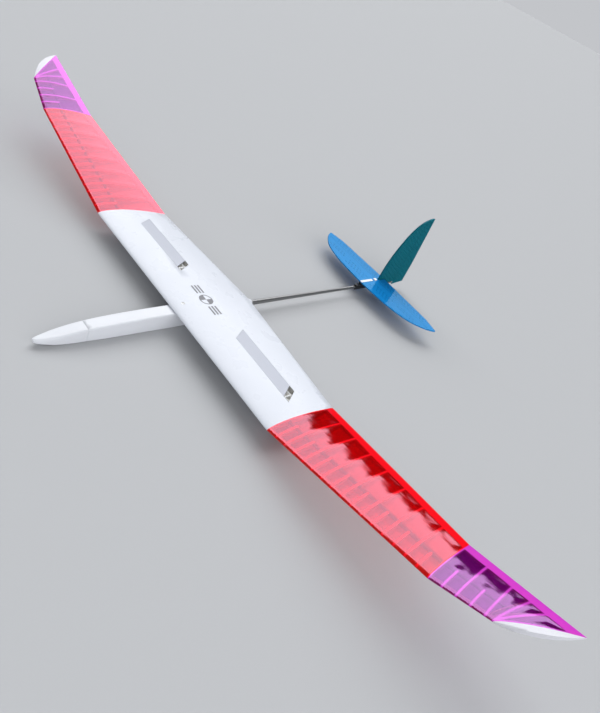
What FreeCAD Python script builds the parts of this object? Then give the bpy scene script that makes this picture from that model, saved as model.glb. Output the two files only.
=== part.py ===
import FreeCAD, Part
import math
import os

from FreeCAD import Placement, Rotation, Vector

# Thermal sailplane with rudder, elevator and spoilers: polyhedral built-up wing on a moulded pod,
# tapered carbon boom and flat film-covered tail. Millimetres. X runs along the span (+X is the
# aircraft's left), Y runs aft, Z up. Z = 0 is the belly, Y = 0 the middle of the overall length.
# A "station" is a distance aft of the wing's leading edge at the centre line.

SIZES = {
    "nose_reach": 311,            # wing leading edge to nose tip
    "tail_reach": 923,            # wing leading edge to rudder trailing edge
    "wing_height": 46.5,          # leading edge above the belly
    "incidence": 1.6,             # wing to boom, degrees
    "root_chord": 234,
    "break_chord": 202,           # where the flat centre panel ends
    "outer_chord": 142,           # where the tip panel starts
    "tip_chord": 92,
    "outer_sweep": 10.6,          # leading edge set back at the tip panel's root
    "tip_sweep": 29.5,            # leading edge line set back at the tip
    "centre_half": 383,
    "middle_span": 410,
    "tip_span": 227,
    "middle_dihedral": 10.4,      # to the centre panel, degrees
    "tip_dihedral": 20.0,
    "cap_start": 115,             # tip cap's front corner, along the tip panel
    "cap_bulge": 14,              # tip cap's rounded edge beyond its joint
    "thickness_ratio": 0.082,
    "camber_ratio": 0.024,
    "camber_peak": 0.42,
    "tail_edge": 1.0,             # trailing edge thickness
    "film": 0.4,                  # covering
    "seat": 0.1,                  # glue line between wooden parts and the covering
    "snug": 0.05,                 # radial room of a tube or rod in its hole
    "leading_depth": 9,
    "trailing_width": 22,
    "rib_thick": 1.6,
    "centre_bays": 8,
    "middle_bays": 8,
    "tip_pitch": 50.7,
    "root_rib": 14,               # first rib beside the bolt block
    "riblet_share": 0.30,         # length of a short nose rib, share of the chord
    "first_fan_front": 9,         # fan ribs start inboard of the cap's front corner
    "second_fan_front": 4,
    "first_fan_rear": 2.8,        # and end on the trailing edge, in tip rib pitches
    "second_fan_rear": 3.5,
    "spar_station": 62,
    "spar_level": 3.9,            # above the chord line
    "spar_radius": 4.5,
    "spar_bore": 3.5,
    "joiner_radius": 3.45,
    "joiner_reach": 60,
    "tip_spar_radius": 2.5,
    "tip_spar_bore": 1.7,
    "tip_spar_length": 130,
    "tip_joiner_radius": 1.65,
    "tip_joiner_reach": 35,
    "bend_clear": 2.0,            # spar ends stop short of the bend
    "spoiler_centre": 228,
    "bay_length": 206,
    "blade_length": 188,
    "blade_width": 39,
    "blade_thick": 2.5,
    "blade_front": 88,
    "blade_skew": 24,             # slant of both ends
    "blade_gap": 0.5,
    "bay_depth": 9.5,
    "bay_wall": 1.0,
    "lever_back": 8,              # lever pivot aft of the blade's hinge
    "lever_drop": 6.5,            # and below the wing's surface
    "lever_length": 18,
    "lever_width": 4,
    "lever_thick": 2,
    "axle_radius": 1.5,
    "axle_reach": 4,              # axle beyond the bay's end wall
    "wing_servo_side": 22,
    "wing_servo_thick": 8.5,
    "pod_half_width": 17.5,
    "pod_height": 43,
    "pod_wall": 1.6,
    "floor_trim": 0.5,            # how much the belly is cut flat
    "bulkhead": 6,                # solid length ahead of the boom's socket
    "cone_wall": 1.2,
    "cone_length": 106,
    "cone_gap": 0.3,
    "spigot_length": 22,
    "spigot_wall": 1.6,
    "fit_gap": 0.2,
    "boom_start": 196,
    "boom_end": 862,
    "boom_root_radius": 7.0,
    "boom_tip_radius": 3.5,
    "boom_wall": 0.6,
    "boom_height": 26,
    "plug_depth": 6,
    "plug_head": 1.6,
    "slot_half": 1.2,
    "horn_slot_front": 7,         # slot under the elevator's horn, about the hinge
    "horn_slot_rear": 18,
    "horn_slot_rise": 10,
    "rod_exit": 14,               # rudder rod leaves the boom ahead of the elevator's edge
    "exit_margin": 8,
    "rod_bend": 12,
    "rod_radius": 0.5,
    "rod_offset": 1.6,
    "rod_overlap": 3,             # rod ends ahead of the servo arm
    "rod_drop": 0.5,              # arm's top below the rod
    "arm_radius": 10,
    "arm_thick": 1.2,
    "servo_length": 23,
    "servo_width": 11,
    "servo_height": 20,
    "lug_length": 4.5,
    "lug_thick": 1.5,
    "servo_spacing": 34,
    "servo_station": -125,
    "lug_drop": 6,                # top of the case down to the lugs
    "boss_radius": 2.6,
    "boss_height": 1.2,
    "hub_radius": 2.8,
    "hub_lift": 1.5,              # case top to the arm
    "arm_width": 3.2,
    "arm_end": 1.5,               # arm beyond the rod's hole
    "shaft_share": 0.3,           # servo shaft from the case's front end
    "tray_thick": 2,
    "tray_margin": 1.1,           # servo tray to the pod's wall
    "tray_front": 15,
    "tray_length": 71,
    "window_gap": 0.3,
    "foot_length": 38,
    "foot_back": 2,               # foot's rear end ahead of the tray's
    "equipment_level": 6,         # underside of the equipment tray
    "equipment_front": -286,
    "equipment_rear": -150,
    "battery_length": 56,
    "battery_width": 17,
    "battery_height": 13,
    "battery_station": -264,
    "receiver_length": 38,
    "receiver_width": 21,
    "receiver_height": 12,
    "receiver_station": -196,
    "ballast_length": 14,
    "ballast_width": 10,
    "ballast_height": 7,
    "bolt_station": 27,
    "bolt_radius": 2,
    "bolt_head_radius": 4,
    "bolt_head_height": 2.2,
    "head_recess": 0.6,           # bolt head below the wing's surface
    "slot_width": 1.0,
    "nut_depth": 16.7,            # bolt's end below the leading edge's level
    "nut_side": 18,
    "nut_thick": 4,
    "nut_lift": 3,                # nut plate above the bolt's end
    "post_width": 3,
    "post_height": 7,
    "block_length": 26,
    "pin_station": 205,
    "pin_radius": 1.5,
    "pin_length": 6.3,            # below the chord line
    "hook_station": 58,
    "hook_block_length": 24,
    "hook_block_width": 10,
    "hook_block_height": 7,
    "hook_bore": 1.5,
    "stab_lead": 690,
    "hinge_station": 767,
    "elevator_trail": 806,
    "stab_tip_station": 788,
    "stab_half": 256,
    "stab_thick": 4,
    "stab_height": 43.4,          # middle of the plate
    "hinge_gap": 0.4,
    "elevator_bevel": 25,
    "notch_half": 4.5,
    "bridge_depth": 9,
    "fin_lead": 779,
    "fin_tip_station": 895,
    "fin_tip_height": 271,
    "fin_thick": 5,
    "rudder_hinge": 866,
    "rudder_bevel": 36,
    "rudder_heel": 17,            # lowest corner, at the hinge
    "rudder_toe": 25,             # bottom of the trailing edge
    "horn_thick": 0.8,
    "horn_front": 2.5,            # elevator horn's foot, aft of the hinge
    "horn_rear": 8.5,
    "horn_low": 1.2,              # its end, below the boom's axis
    "horn_end_front": -1,
    "horn_end_rear": 3,
    "rudder_horn_reach": 9,
    "rudder_horn_thick": 1.2,
    "rudder_horn_base": 9,        # length along the rudder
    "rudder_horn_back": 5,        # behind the hinge
    "mount_lead": 671,
    "mount_length": 84,
    "mount_width": 9,
    "strap_station": 689,
    "strap_length": 57,
    "strap_width": 9,
    "strap_thick": 1.0,
    "clip_length": 11,
    "clip_height": 2.2,
    "tail_screw_radius": 1.5,
    "tail_screw_head": 2.6,
    "tail_screw_length": 12,
    "tail_screw_cap": 1.2,
    "saddle_drop": 3,             # mount below the boom
    "collar_wall": 2.0,
    "saddle_step": 6,
}

doc = FreeCAD.newDocument("sailplane")
sheet = doc.addObject("Spreadsheet::Sheet", "Sheet")
for row, (alias, value) in enumerate(SIZES.items(), 1):
    sheet.set("A%d" % row, alias.replace("_", " "))
    sheet.set("B%d" % row, str(value))
    sheet.setAlias("B%d" % row, alias)
doc.recompute()

nodes = {}


def size(alias):
    return float(sheet.get(alias))


def lead():
    """Y of the wing's leading edge."""
    return (size("nose_reach") - size("tail_reach")) / 2


LEAD = "(Sheet.nose_reach - Sheet.tail_reach) / 2"


def station(name):
    """Expression for the Y of a named station."""
    return "%s + Sheet.%s" % (LEAD, name)


# ---------------------------------------------------------------- document helpers

def register(label, obj):
    obj.Label = label
    nodes[label] = obj
    return obj


def bind(obj, bindings):
    for prop, expression in bindings.items():
        obj.setExpression(prop, expression)
    return obj


def box(name, corner, sides):
    """Box with its lowest corner and its three sides given as expressions."""
    obj = doc.addObject("Part::Box", name)
    for axis, expression in zip("xyz", corner):
        obj.setExpression("Placement.Base." + axis, expression)
    return bind(obj, dict(zip(("Length", "Width", "Height"), sides)))


def cylinder(name, base, radius, height, axis=Vector(0, 0, 1)):
    obj = doc.addObject("Part::Cylinder", name)
    obj.Placement = Placement(Vector(), Rotation(Vector(0, 0, 1), axis))
    for letter, expression in zip("xyz", base):
        obj.setExpression("Placement.Base." + letter, expression)
    return bind(obj, {"Radius": radius, "Height": height})


def fuse(name, parts):
    obj = doc.addObject("Part::MultiFuse", name)
    obj.Shapes = parts
    return obj


def cut(name, base, tool):
    obj = doc.addObject("Part::Cut", name)
    obj.Base = base
    obj.Tool = tool
    return obj


def solid(label, shape, placement=None):
    """Part::Feature for shapes that no primitive or sketch feature makes."""
    obj = doc.addObject("Part::Feature", label)
    obj.Shape = shape
    if placement is not None:
        obj.Placement = placement
    return register(label, obj)


def group(shapes):
    """Several separate solids as one compound."""
    solids = [piece for shape in shapes for piece in shape.Solids]
    return Part.makeCompound(solids)


def prism(points, direction):
    wire = Part.makePolygon(points + [points[0]])
    return Part.Face(wire).extrude(direction)


def spline(points):
    curve = Part.BSplineCurve()
    curve.interpolate(points)
    return curve.toShape()


# ---------------------------------------------------------------- aerofoil and wing panels

SAMPLES = 17                      # points along each surface of a section
THICKNESS_CURVE = (-0.1260, -0.3516, 0.2843, -0.1036)
NOSE_TERM = 0.2969                # with the square root of the distance from the nose


def camber(x):
    peak = size("camber_peak")
    if x < peak:
        return size("camber_ratio") * (2 * peak * x - x * x) / peak ** 2
    return size("camber_ratio") * (1 - 2 * peak + 2 * peak * x - x * x) / (1 - peak) ** 2


def aerofoil(s, chord):
    """Section point; s runs from -1, the lower tail edge, by 0, the nose, to 1, the upper tail edge."""
    x = s * s
    half = NOSE_TERM * abs(s)
    half += sum(term * x ** power for power, term in enumerate(THICKNESS_CURVE, 1))
    rise = math.copysign(5 * size("thickness_ratio") * half * chord + size("tail_edge") * x / 2, s)
    return Vector(0, x * chord, camber(x) * chord + rise)


def inset_point(s, chord, inset):
    step = 1e-4
    tangent = aerofoil(s + step, chord) - aerofoil(s - step, chord)
    tangent.normalize()
    return aerofoil(s, chord) + Vector(0, tangent.z, -tangent.y) * inset


class Panel:
    """One straight length of the left wing, with its own axis, and leaning end faces that meet the
    next panel in the plane that halves the dihedral angle."""

    def __init__(self, start, angle, length, sweeps, chords, leans):
        self.start = start
        self.angle = math.radians(angle)
        self.length = length
        self.sweeps = sweeps
        self.chords = chords
        self.leans = leans

    def share(self, u, pair):
        return pair[0] + (pair[1] - pair[0]) * u / self.length

    def place(self, u, v, w):
        """Wing coordinates of a point u along the panel, v aft and w above the chord plane."""
        x = self.start.x + u * math.cos(self.angle) - w * math.sin(self.angle)
        z = self.start.z + u * math.sin(self.angle) + w * math.cos(self.angle)
        return Vector(x, v, z)

    def end(self):
        return self.place(self.length, 0, 0)

    def point(self, u, lean, s, inset):
        chord = self.share(u, self.chords)
        local = inset_point(s, chord, inset)
        run = u + local.z * math.tan(math.radians(lean))
        return self.place(run, self.share(u, self.sweeps) + local.y, local.z)

    def section(self, u, lean, front, rear, inset, straight=False):
        """Closed wire of the section between two distances from the nose; front 0 takes the nose in.
        Straight sections, for strips, have no points between their corners."""
        chord = self.share(u, self.chords)
        far = math.sqrt(min(rear / chord, 1.0))
        near = math.sqrt(front / chord)
        if front == 0:
            steps = [far * (2 * i / (2 * SAMPLES) - 1) for i in range(2 * SAMPLES + 1)]
            edges = [spline([self.point(u, lean, s, inset) for s in steps])]
        else:
            count = 1 if straight else SAMPLES
            steps = [near + (far - near) * i / count for i in range(count + 1)]
            upper = [self.point(u, lean, s, inset) for s in steps]
            lower = [self.point(u, lean, -s, inset) for s in steps]
            curve = Part.makePolygon if straight else spline
            edges = curve(upper).Edges + curve(lower).Edges + [Part.makeLine(upper[0], lower[0])]
        edges.append(Part.makeLine(self.point(u, lean, far, inset), self.point(u, lean, -far, inset)))
        return Part.Wire(Part.__sortEdges__(edges))

    def loft(self, front, rear, inset):
        """Solid over the panel's whole span; front and rear are distances from the two edges."""
        return self.ends(inset, lambda chord: (front, chord - rear))

    def nose_strip(self, depth, inset):
        return self.ends(inset, lambda chord: (0, depth))

    def tail_strip(self, width, rear, inset):
        return self.ends(inset, lambda chord: (chord - width, chord - rear), straight=True)

    def ends(self, inset, limits, straight=False):
        wires = []
        for u, lean in zip((0, self.length), self.leans):
            front, rear = limits(self.share(u, self.chords))
            wires.append(self.section(u, lean, front, rear, inset, straight))
        return Part.makeLoft(wires, True, True)

    def slab(self, first, second, thick):
        """Upright plate along the line between two plan points (u, v)."""
        along = Vector(second[0] - first[0], second[1] - first[1], 0)
        along.normalize()
        side = Vector(-along.y, along.x, 0) * (thick / 2)
        corners = [(first[0] + side.x, first[1] + side.y), (second[0] + side.x, second[1] + side.y),
                   (second[0] - side.x, second[1] - side.y), (first[0] - side.x, first[1] - side.y)]
        reach = size("root_chord") / 4
        points = [self.place(u, v, -reach) for u, v in corners]
        return prism(points, self.place(0, 0, 2 * reach) - self.place(0, 0, 0))

    def tube(self, start, stop, radius, bore=0.0):
        base = self.place(start, size("spar_station"), size("spar_level"))
        tip = self.place(stop, size("spar_station"), size("spar_level"))
        tube = Part.makeCylinder(radius, (tip - base).Length, base, tip - base)
        if bore:
            tube = tube.cut(Part.makeCylinder(bore, (tip - base).Length, base, tip - base))
        return tube


bend_one = size("middle_dihedral") / 2
bend_two = (size("tip_dihedral") - size("middle_dihedral")) / 2
centre = Panel(Vector(), 0, size("centre_half"), (0, 0),
               (size("root_chord"), size("break_chord")), (0, -bend_one))
middle = Panel(centre.end(), size("middle_dihedral"), size("middle_span"), (0, size("outer_sweep")),
               (size("break_chord"), size("outer_chord")), (bend_one, -bend_two))
tip = Panel(middle.end(), size("tip_dihedral"), size("tip_span"),
            (size("outer_sweep"), size("tip_sweep")),
            (size("outer_chord"), size("tip_chord")), (bend_two, 0))
panels = {"centre": centre, "middle": middle, "tip": tip}
wing_placement = Placement(Vector(0, lead(), size("wing_height")),
                           Rotation(Vector(1, 0, 0), -size("incidence")))


def mirrored(shape):
    return shape.mirror(Vector(), Vector(1, 0, 0))


def both(shape):
    """Left half fused with its mirror image across the centre line."""
    return shape.fuse(mirrored(shape)).removeSplitter()


def wing_pair(label, shape):
    """The same piece in the left and the right wing."""
    solid(label + "_left", shape, wing_placement)
    solid(label + "_right", mirrored(shape), wing_placement)


def inner_pair(label, shape):
    """Hidden pieces of the left and the right wing, alike, in one group."""
    solid(label, group([shape, mirrored(shape)]), wing_placement)


def wing_half_blank(inset=0.0):
    return centre.loft(0, 0, inset)


wing_blank = both(wing_half_blank())
CORE = size("film") + size("seat")


# Tip cap: the end of the tip panel beyond a raked joint, with a rounded edge in plan.

def rake_ends(shift=0.0):
    """Plan points (u, v) of the raked joint, moved outwards by shift."""
    front = (size("cap_start"), tip.share(size("cap_start"), tip.sweeps))
    rear = (size("tip_span"), size("tip_sweep") + size("tip_chord"))
    run = math.hypot(rear[0] - front[0], rear[1] - front[1])
    normal = ((rear[1] - front[1]) / run, -(rear[0] - front[0]) / run)
    return [(u + normal[0] * shift, v + normal[1] * shift) for u, v in (front, rear)], normal


def tip_plan(shift, depth):
    """Upright prism that covers the tip beyond the joint when depth is positive, and inboard of it
    when depth is negative."""
    (front, rear), normal = rake_ends(shift)
    along = ((rear[0] - front[0]) / 2, (rear[1] - front[1]) / 2)
    corners = [(front[0] - along[0], front[1] - along[1]), (rear[0] + along[0], rear[1] + along[1])]
    corners += [(u + normal[0] * depth, v + normal[1] * depth) for u, v in reversed(corners)]
    reach = size("root_chord") / 4
    return prism([tip.place(u, v, -reach) for u, v in corners],
                 tip.place(0, 0, 2 * reach) - tip.place(0, 0, 0))


def cap_outline():
    """Plan of the cap: its joint and the arc that bulges beyond it."""
    (front, rear), normal = rake_ends(size("seat"))
    bulge = size("cap_bulge")
    crown = [(front[i] + rear[i]) / 2 + normal[i] * bulge for i in (0, 1)]
    reach = size("root_chord") / 4
    first, top, last = [tip.place(u, v, -reach) for u, v in (front, crown, rear)]
    wire = Part.Wire([Part.Arc(first, top, last).toShape(), Part.makeLine(last, first)])
    return Part.Face(wire).extrude(tip.place(0, 0, 2 * reach) - tip.place(0, 0, 0))


beyond_joint = tip_plan(0, 2 * size("tip_span"))
long_span = size("tip_span") + 3 * size("cap_bulge")
tip_long = Panel(tip.start, size("tip_dihedral"), long_span,
                 (tip.sweeps[0], tip.share(long_span, tip.sweeps)),
                 (tip.chords[0], tip.share(long_span, tip.chords)), (bend_two, 0))


# Coverings: film over each panel, open at the ribs that close its ends.

def covering(panel):
    return panel.loft(0, 0, 0).cut(panel.loft(0, 2 * size("tail_edge"), size("film")))


def outline_prism(corners, low, high):
    """Upright prism in wing coordinates from plan corners (x, y)."""
    return prism([Vector(x, y, low) for x, y in corners], Vector(0, 0, high - low))


# Spoilers. Both units are alike, not mirrored: the lever is at the +X end of each bay.

def slanted(x0, x1, y0, y1):
    """Plan corners whose ends slant by the blade's skew; x is taken at mid width."""
    slope = size("blade_skew") / size("blade_width")
    middle_y = size("blade_front") + size("blade_width") / 2
    return [(x0 - (y0 - middle_y) * slope, y0), (x1 - (y0 - middle_y) * slope, y0),
            (x1 - (y1 - middle_y) * slope, y1), (x0 - (y1 - middle_y) * slope, y1)]


def bay_span(side):
    start = side * size("spoiler_centre") - size("bay_length") / 2
    return start, start + size("bay_length")


def bay_plan(side, grow):
    start, stop = bay_span(side)
    front = size("blade_front") - grow
    rear = size("blade_front") + size("blade_width") + size("blade_gap") + grow
    return slanted(start - grow, stop + grow, front, rear)


def lowered(shape, drop):
    copy = shape.copy()
    copy.translate(Vector(0, 0, -drop))
    return copy


WING_DEEP = -size("root_chord") / 4
WING_HIGH = size("root_chord") / 4


def spoiler_blade(side):
    start, _ = bay_span(side)
    gap = size("blade_gap")
    plan = slanted(start + gap, start + size("blade_length"), size("blade_front") + gap,
                   size("blade_front") + size("blade_width"))
    block = wing_blank.common(outline_prism(plan, WING_DEEP, WING_HIGH))
    return block.cut(lowered(wing_blank, size("blade_thick")))


def spoiler_tray(side):
    """Open box under the blade, glued to the covering's underside round the opening."""
    wall = size("bay_wall")
    outer = outline_prism(bay_plan(side, wall), WING_DEEP, WING_HIGH)
    inner = outline_prism(bay_plan(side, 0), WING_DEEP, WING_HIGH)
    body = lowered(wing_blank, CORE).common(outer).cut(lowered(wing_blank, size("bay_depth") + wall))
    hollow = inner.cut(lowered(wing_blank, size("bay_depth")))
    tray = body.cut(hollow)
    axle = lever_pivot(side)
    return tray.cut(Part.makeCylinder(size("axle_radius") + size("blade_gap"), 8 * wall,
                                      axle - Vector(4 * wall, 0, 0), Vector(1, 0, 0)))


def surface_height(x, y):
    """Height of the wing's upper surface over a plan point of the centre panel."""
    chord = centre.share(abs(x), centre.chords)
    return aerofoil(math.sqrt(y / chord), chord).z


def lever_pivot(side):
    """Where the lever's axle passes through the end wall of the bay."""
    y = size("blade_front") + size("lever_back")
    _, stop = bay_span(side)
    slope = size("blade_skew") / size("blade_width")
    x = stop - (y - size("blade_front") - size("blade_width") / 2) * slope
    return Vector(x, y, surface_height(x, size("blade_front")) - size("lever_drop"))


def spoiler_lever(side):
    """Axle, flat lever beside the blade's end and the pin that lifts the blade from below."""
    pivot = lever_pivot(side)
    thick = size("lever_thick")
    width = size("lever_width")
    reach = size("lever_length")
    slope = size("blade_skew") / size("blade_width")
    wall_run = (reach + width / 2) * slope
    inner = pivot - Vector(wall_run + thick + 2 * size("blade_gap"), 0, 0)
    eye = Part.makeCylinder(width / 2, thick, inner, Vector(1, 0, 0))
    arm = Part.makeBox(thick, reach, width, inner - Vector(0, 0, width / 2))
    tip_eye = Part.makeCylinder(width / 2, thick, inner + Vector(0, reach, 0), Vector(1, 0, 0))
    spanwise = Vector(1, 0, 0)
    axle = Part.makeCylinder(size("axle_radius"), pivot.x - inner.x + size("axle_reach"), inner, spanwise)
    pin_length = size("bay_length") - size("blade_length") + thick
    pin = Part.makeCylinder(thick / 2, pin_length, inner + Vector(-pin_length, reach, 0), spanwise)
    return eye.fuse([arm, tip_eye, axle, pin]).removeSplitter()


def spoiler_servo(side):
    """Slim servo on its side, against the bay's end wall."""
    pivot = lever_pivot(side)
    length = size("wing_servo_side")
    slope = size("blade_skew") / size("blade_width")
    start = pivot.x + 2 * size("bay_wall") + 2 * size("blade_gap") + slope * length / 2
    boss_start = pivot.x + size("axle_reach") + size("fit_gap")
    case = Part.makeBox(length, length, size("wing_servo_thick"),
                        Vector(start, pivot.y - length / 2, pivot.z - size("wing_servo_thick") / 2))
    boss = Part.makeCylinder(size("axle_radius") + 1, start - boss_start + size("bay_wall"),
                             Vector(boss_start, pivot.y, pivot.z), Vector(1, 0, 0))
    return case.fuse(boss).removeSplitter()


def spoiler_room(side):
    """Space that ribs leave free for the tray and the servo."""
    gap = size("seat")
    tray_room = outline_prism(bay_plan(side, size("bay_wall") + gap), WING_DEEP, WING_HIGH)
    bound = spoiler_servo(side).BoundBox
    corner = Vector(bound.XMin - gap, bound.YMin - gap, WING_DEEP)
    servo_room = Part.makeBox(bound.XLength + 2 * gap, bound.YLength + 2 * gap, WING_HIGH - WING_DEEP, corner)
    return [tray_room, servo_room]


SIDES = {"left": 1, "right": -1}
openings = [outline_prism(bay_plan(side, 0), 0, WING_HIGH) for side in SIDES.values()]
rooms = [room for side in SIDES.values() for room in spoiler_room(side)]


# Bolt block, bolt and locating pin at the wing's root.

def upright(radius, y, low, high):
    return Part.makeCylinder(radius, high - low, Vector(0, y, low))


bolt_at = size("bolt_station")
bolt_hole = upright(size("bolt_radius") + size("fit_gap"), bolt_at, WING_DEEP, WING_HIGH)
pin_hole = upright(size("pin_radius") + size("seat"), size("pin_station"), WING_DEEP, size("seat"))
head_seat = surface_height(0, bolt_at) - size("bolt_head_height") - size("head_recess")
head_pocket = upright(size("bolt_head_radius") + size("fit_gap"), bolt_at, head_seat, WING_HIGH)
rib_gap = size("root_rib") - size("rib_thick") / 2 - size("seat")


def root_block(y0, y1):
    """Hardwood block between the two root ribs."""
    core = both(centre.loft(size("leading_depth"), size("trailing_width"), CORE))
    corner = Vector(-rib_gap, y0, WING_DEEP)
    return core.common(Part.makeBox(2 * rib_gap, y1 - y0, WING_HIGH - WING_DEEP, corner))


block_half = size("block_length") / 2
front_block = root_block(bolt_at - block_half, bolt_at + block_half)
rear_block = root_block(size("pin_station") - block_half / 2, size("pin_station") + block_half / 2)
root_blocks = group([front_block.cut(bolt_hole).cut(head_pocket), rear_block.cut(pin_hole)])
solid("root_blocks", root_blocks, wing_placement)


# Wing structure, panel by panel.

def spar_hole(panel):
    radius = size("tip_spar_radius") if panel is tip else size("spar_radius")
    return panel.tube(-panel.length, 2 * panel.length, radius + size("snug"))


def ribs(panel, lines, trim=None):
    """Upright ribs along lines between plan points."""
    core = panel.loft(size("leading_depth"), size("trailing_width"), CORE)
    if trim is not None:
        core = core.cut(trim)
    core = core.cut(spar_hole(panel))
    return [core.common(panel.slab(first, second, size("rib_thick"))) for first, second in lines]


def chordwise(panel, u, front=0.0, rear=1.0):
    """Rib line across the chord at u, between two shares of the chord."""
    chord = panel.share(u, panel.chords)
    sweep = panel.share(u, panel.sweeps)
    return (u, sweep + chord * front), (u, sweep + chord * rear)


def end_rib(panel, start):
    """Rib parallel to the panel's leaning end face."""
    lean = panel.leans[0] if start else panel.leans[1]
    thick = size("rib_thick")
    first = size("seat") if start else panel.length - size("seat") - thick
    wires = [panel.section(u, lean, size("leading_depth"),
                           panel.share(u, panel.chords) - size("trailing_width"), CORE)
             for u in (first, first + thick)]
    return Part.makeLoft(wires, True, True).cut(spar_hole(panel))


nose_depth = size("leading_depth") - size("seat")
tail_width = size("trailing_width") - size("seat")
leading = {name: panel.nose_strip(nose_depth, CORE) for name, panel in panels.items()}
trailing = {name: panel.tail_strip(tail_width, 3 * size("tail_edge"), CORE)
            for name, panel in panels.items()}

centre_pitch = (size("centre_half") - size("root_rib")) / size("centre_bays")
centre_lines = [chordwise(centre, size("root_rib") + i * centre_pitch)
                for i in range(int(size("centre_bays")))]
half_ribs = ribs(centre, centre_lines) + [end_rib(centre, False)]
rib_solids = []
for rib in half_ribs + [mirrored(rib) for rib in half_ribs]:
    for room in rooms:
        rib = rib.cut(room)
    rib_solids.append(rib)
solid("centre_ribs", group(rib_solids), wing_placement)
solid("centre_leading_edge", both(leading["centre"]), wing_placement)
solid("centre_trailing_edge", both(trailing["centre"]), wing_placement)
cover = both(covering(centre))
for tool in openings + [head_pocket, bolt_hole, pin_hole]:
    cover = cover.cut(tool)
solid("centre_cover", cover, wing_placement)

middle_pitch = size("middle_span") / size("middle_bays")
short = size("riblet_share")
middle_lines = [chordwise(middle, i * middle_pitch) for i in range(1, int(size("middle_bays")))]
middle_lines += [chordwise(middle, (i + 0.5) * middle_pitch, 0, short)
                 for i in range(int(size("middle_bays")))]
inner_pair("middle_ribs", group([end_rib(middle, True), end_rib(middle, False)]
                               + ribs(middle, middle_lines)))
inner_pair("middle_leading_edges", leading["middle"])
inner_pair("middle_trailing_edges", trailing["middle"])
wing_pair("middle_cover", covering(middle))

(cap_front, cap_rear), _ = rake_ends()
tip_lines = [chordwise(tip, size("tip_pitch") * i) for i in (1, 2)]
tip_lines += [chordwise(tip, size("tip_pitch") * (i + 0.5), 0, 1.2 * short) for i in (0, 1)]
for back, bays in ((size("first_fan_front"), size("first_fan_rear")),
                   (size("second_fan_front"), size("second_fan_rear"))):
    fan_front = (cap_front[0] - back, cap_front[1] + size("leading_depth"))
    tip_lines.append((fan_front, chordwise(tip, size("tip_pitch") * bays)[1]))
cap_room = tip_plan(-3 * size("rib_thick"), 2 * size("tip_span"))
inner_pair("tip_ribs", group([end_rib(tip, True)] + ribs(tip, tip_lines, cap_room)))
inner_pair("tip_leading_edges", leading["tip"].cut(beyond_joint))
inner_pair("tip_trailing_edges", trailing["tip"].cut(beyond_joint))
wing_pair("tip_cover", covering(tip).cut(beyond_joint))
wing_pair("tip_cap", tip_long.loft(0, 0, 0).common(cap_outline()))

bend_clear = size("bend_clear")
inner_pair("middle_spars", middle.tube(bend_clear, size("middle_span") - bend_clear,
                                       size("spar_radius"), size("spar_bore")))
inner_pair("tip_spars", tip.tube(bend_clear, size("tip_spar_length"),
                                 size("tip_spar_radius"), size("tip_spar_bore")))
solid("centre_spar", both(centre.tube(0, size("centre_half") - bend_clear,
                                      size("spar_radius"), size("spar_bore"))), wing_placement)


def joiner(inner, outer, reach, radius):
    """Bent rod in the spars of two panels, with a ball where its two legs meet."""
    lean = math.tan(math.radians(outer.leans[0])) * size("spar_level")
    knee = outer.place(lean, size("spar_station"), size("spar_level"))
    inward = inner.place(inner.length - reach, size("spar_station"), size("spar_level")) - knee
    outward = outer.place(reach, size("spar_station"), size("spar_level")) - knee
    legs = [Part.makeCylinder(radius, leg.Length, knee, leg) for leg in (inward, outward)]
    return legs[0].fuse([legs[1], Part.makeSphere(radius, knee)]).removeSplitter()


inner_pair("inner_joiners", joiner(centre, middle, size("joiner_reach"), size("joiner_radius")))
inner_pair("tip_joiners", joiner(middle, tip, size("tip_joiner_reach"), size("tip_joiner_radius")))

for word, side in SIDES.items():
    solid("spoiler_" + word, spoiler_blade(side), wing_placement)
    solid("spoiler_tray_" + word, spoiler_tray(side), wing_placement)
    solid("spoiler_lever_" + word, spoiler_lever(side), wing_placement)
    solid("spoiler_servo_" + word, spoiler_servo(side), wing_placement)


# ---------------------------------------------------------------- pod and nose cone
# Rounded box sections. Ahead of the wing, places are shares of nose_reach from the nose tip; under
# and behind it, shares of the root chord aft of the leading edge. Half width, top and belly are
# shares of the pod's half width and height; the last number is the corner radius share. Where the
# belly is 0 the section dips below it and is cut flat.

FORE = ((0.001, 0.10, 0.375, 0.285, 0.9), (0.007, 0.27, 0.395, 0.20, 0.9),
        (0.026, 0.46, 0.42, 0.135, 0.8), (0.067, 0.645, 0.455, 0.085, 0.55),
        (0.132, 0.80, 0.53, 0.03, 0.35), (0.196, 0.87, 0.615, 0.004, 0.27),
        (0.260, 0.90, 0.70, 0.0, 0.25), (0.341, 0.93, 0.785, 0.0, 0.24),
        (0.421, 0.97, 0.833, 0.0, 0.22), (0.518, 1.0, 0.877, 0.0, 0.21),
        (0.711, 1.0, 0.95, 0.0, 0.21), (0.90, 1.0, 0.99, 0.0, 0.21))
AFT = ((0.0, 1.0, 1.0, 0.0, 0.21), (0.25, 1.0, 1.0, 0.0, 0.21), (0.51, 0.98, 1.0, 0.0, 0.22),
       (0.72, 0.80, 0.99, 0.15, 0.35), (0.90, 0.62, 0.96, 0.32, 0.60), (0.98, 0.56, 0.93, 0.375, 0.75),
       (1.05, 0.50, 0.81, 0.402, 0.97))


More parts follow.
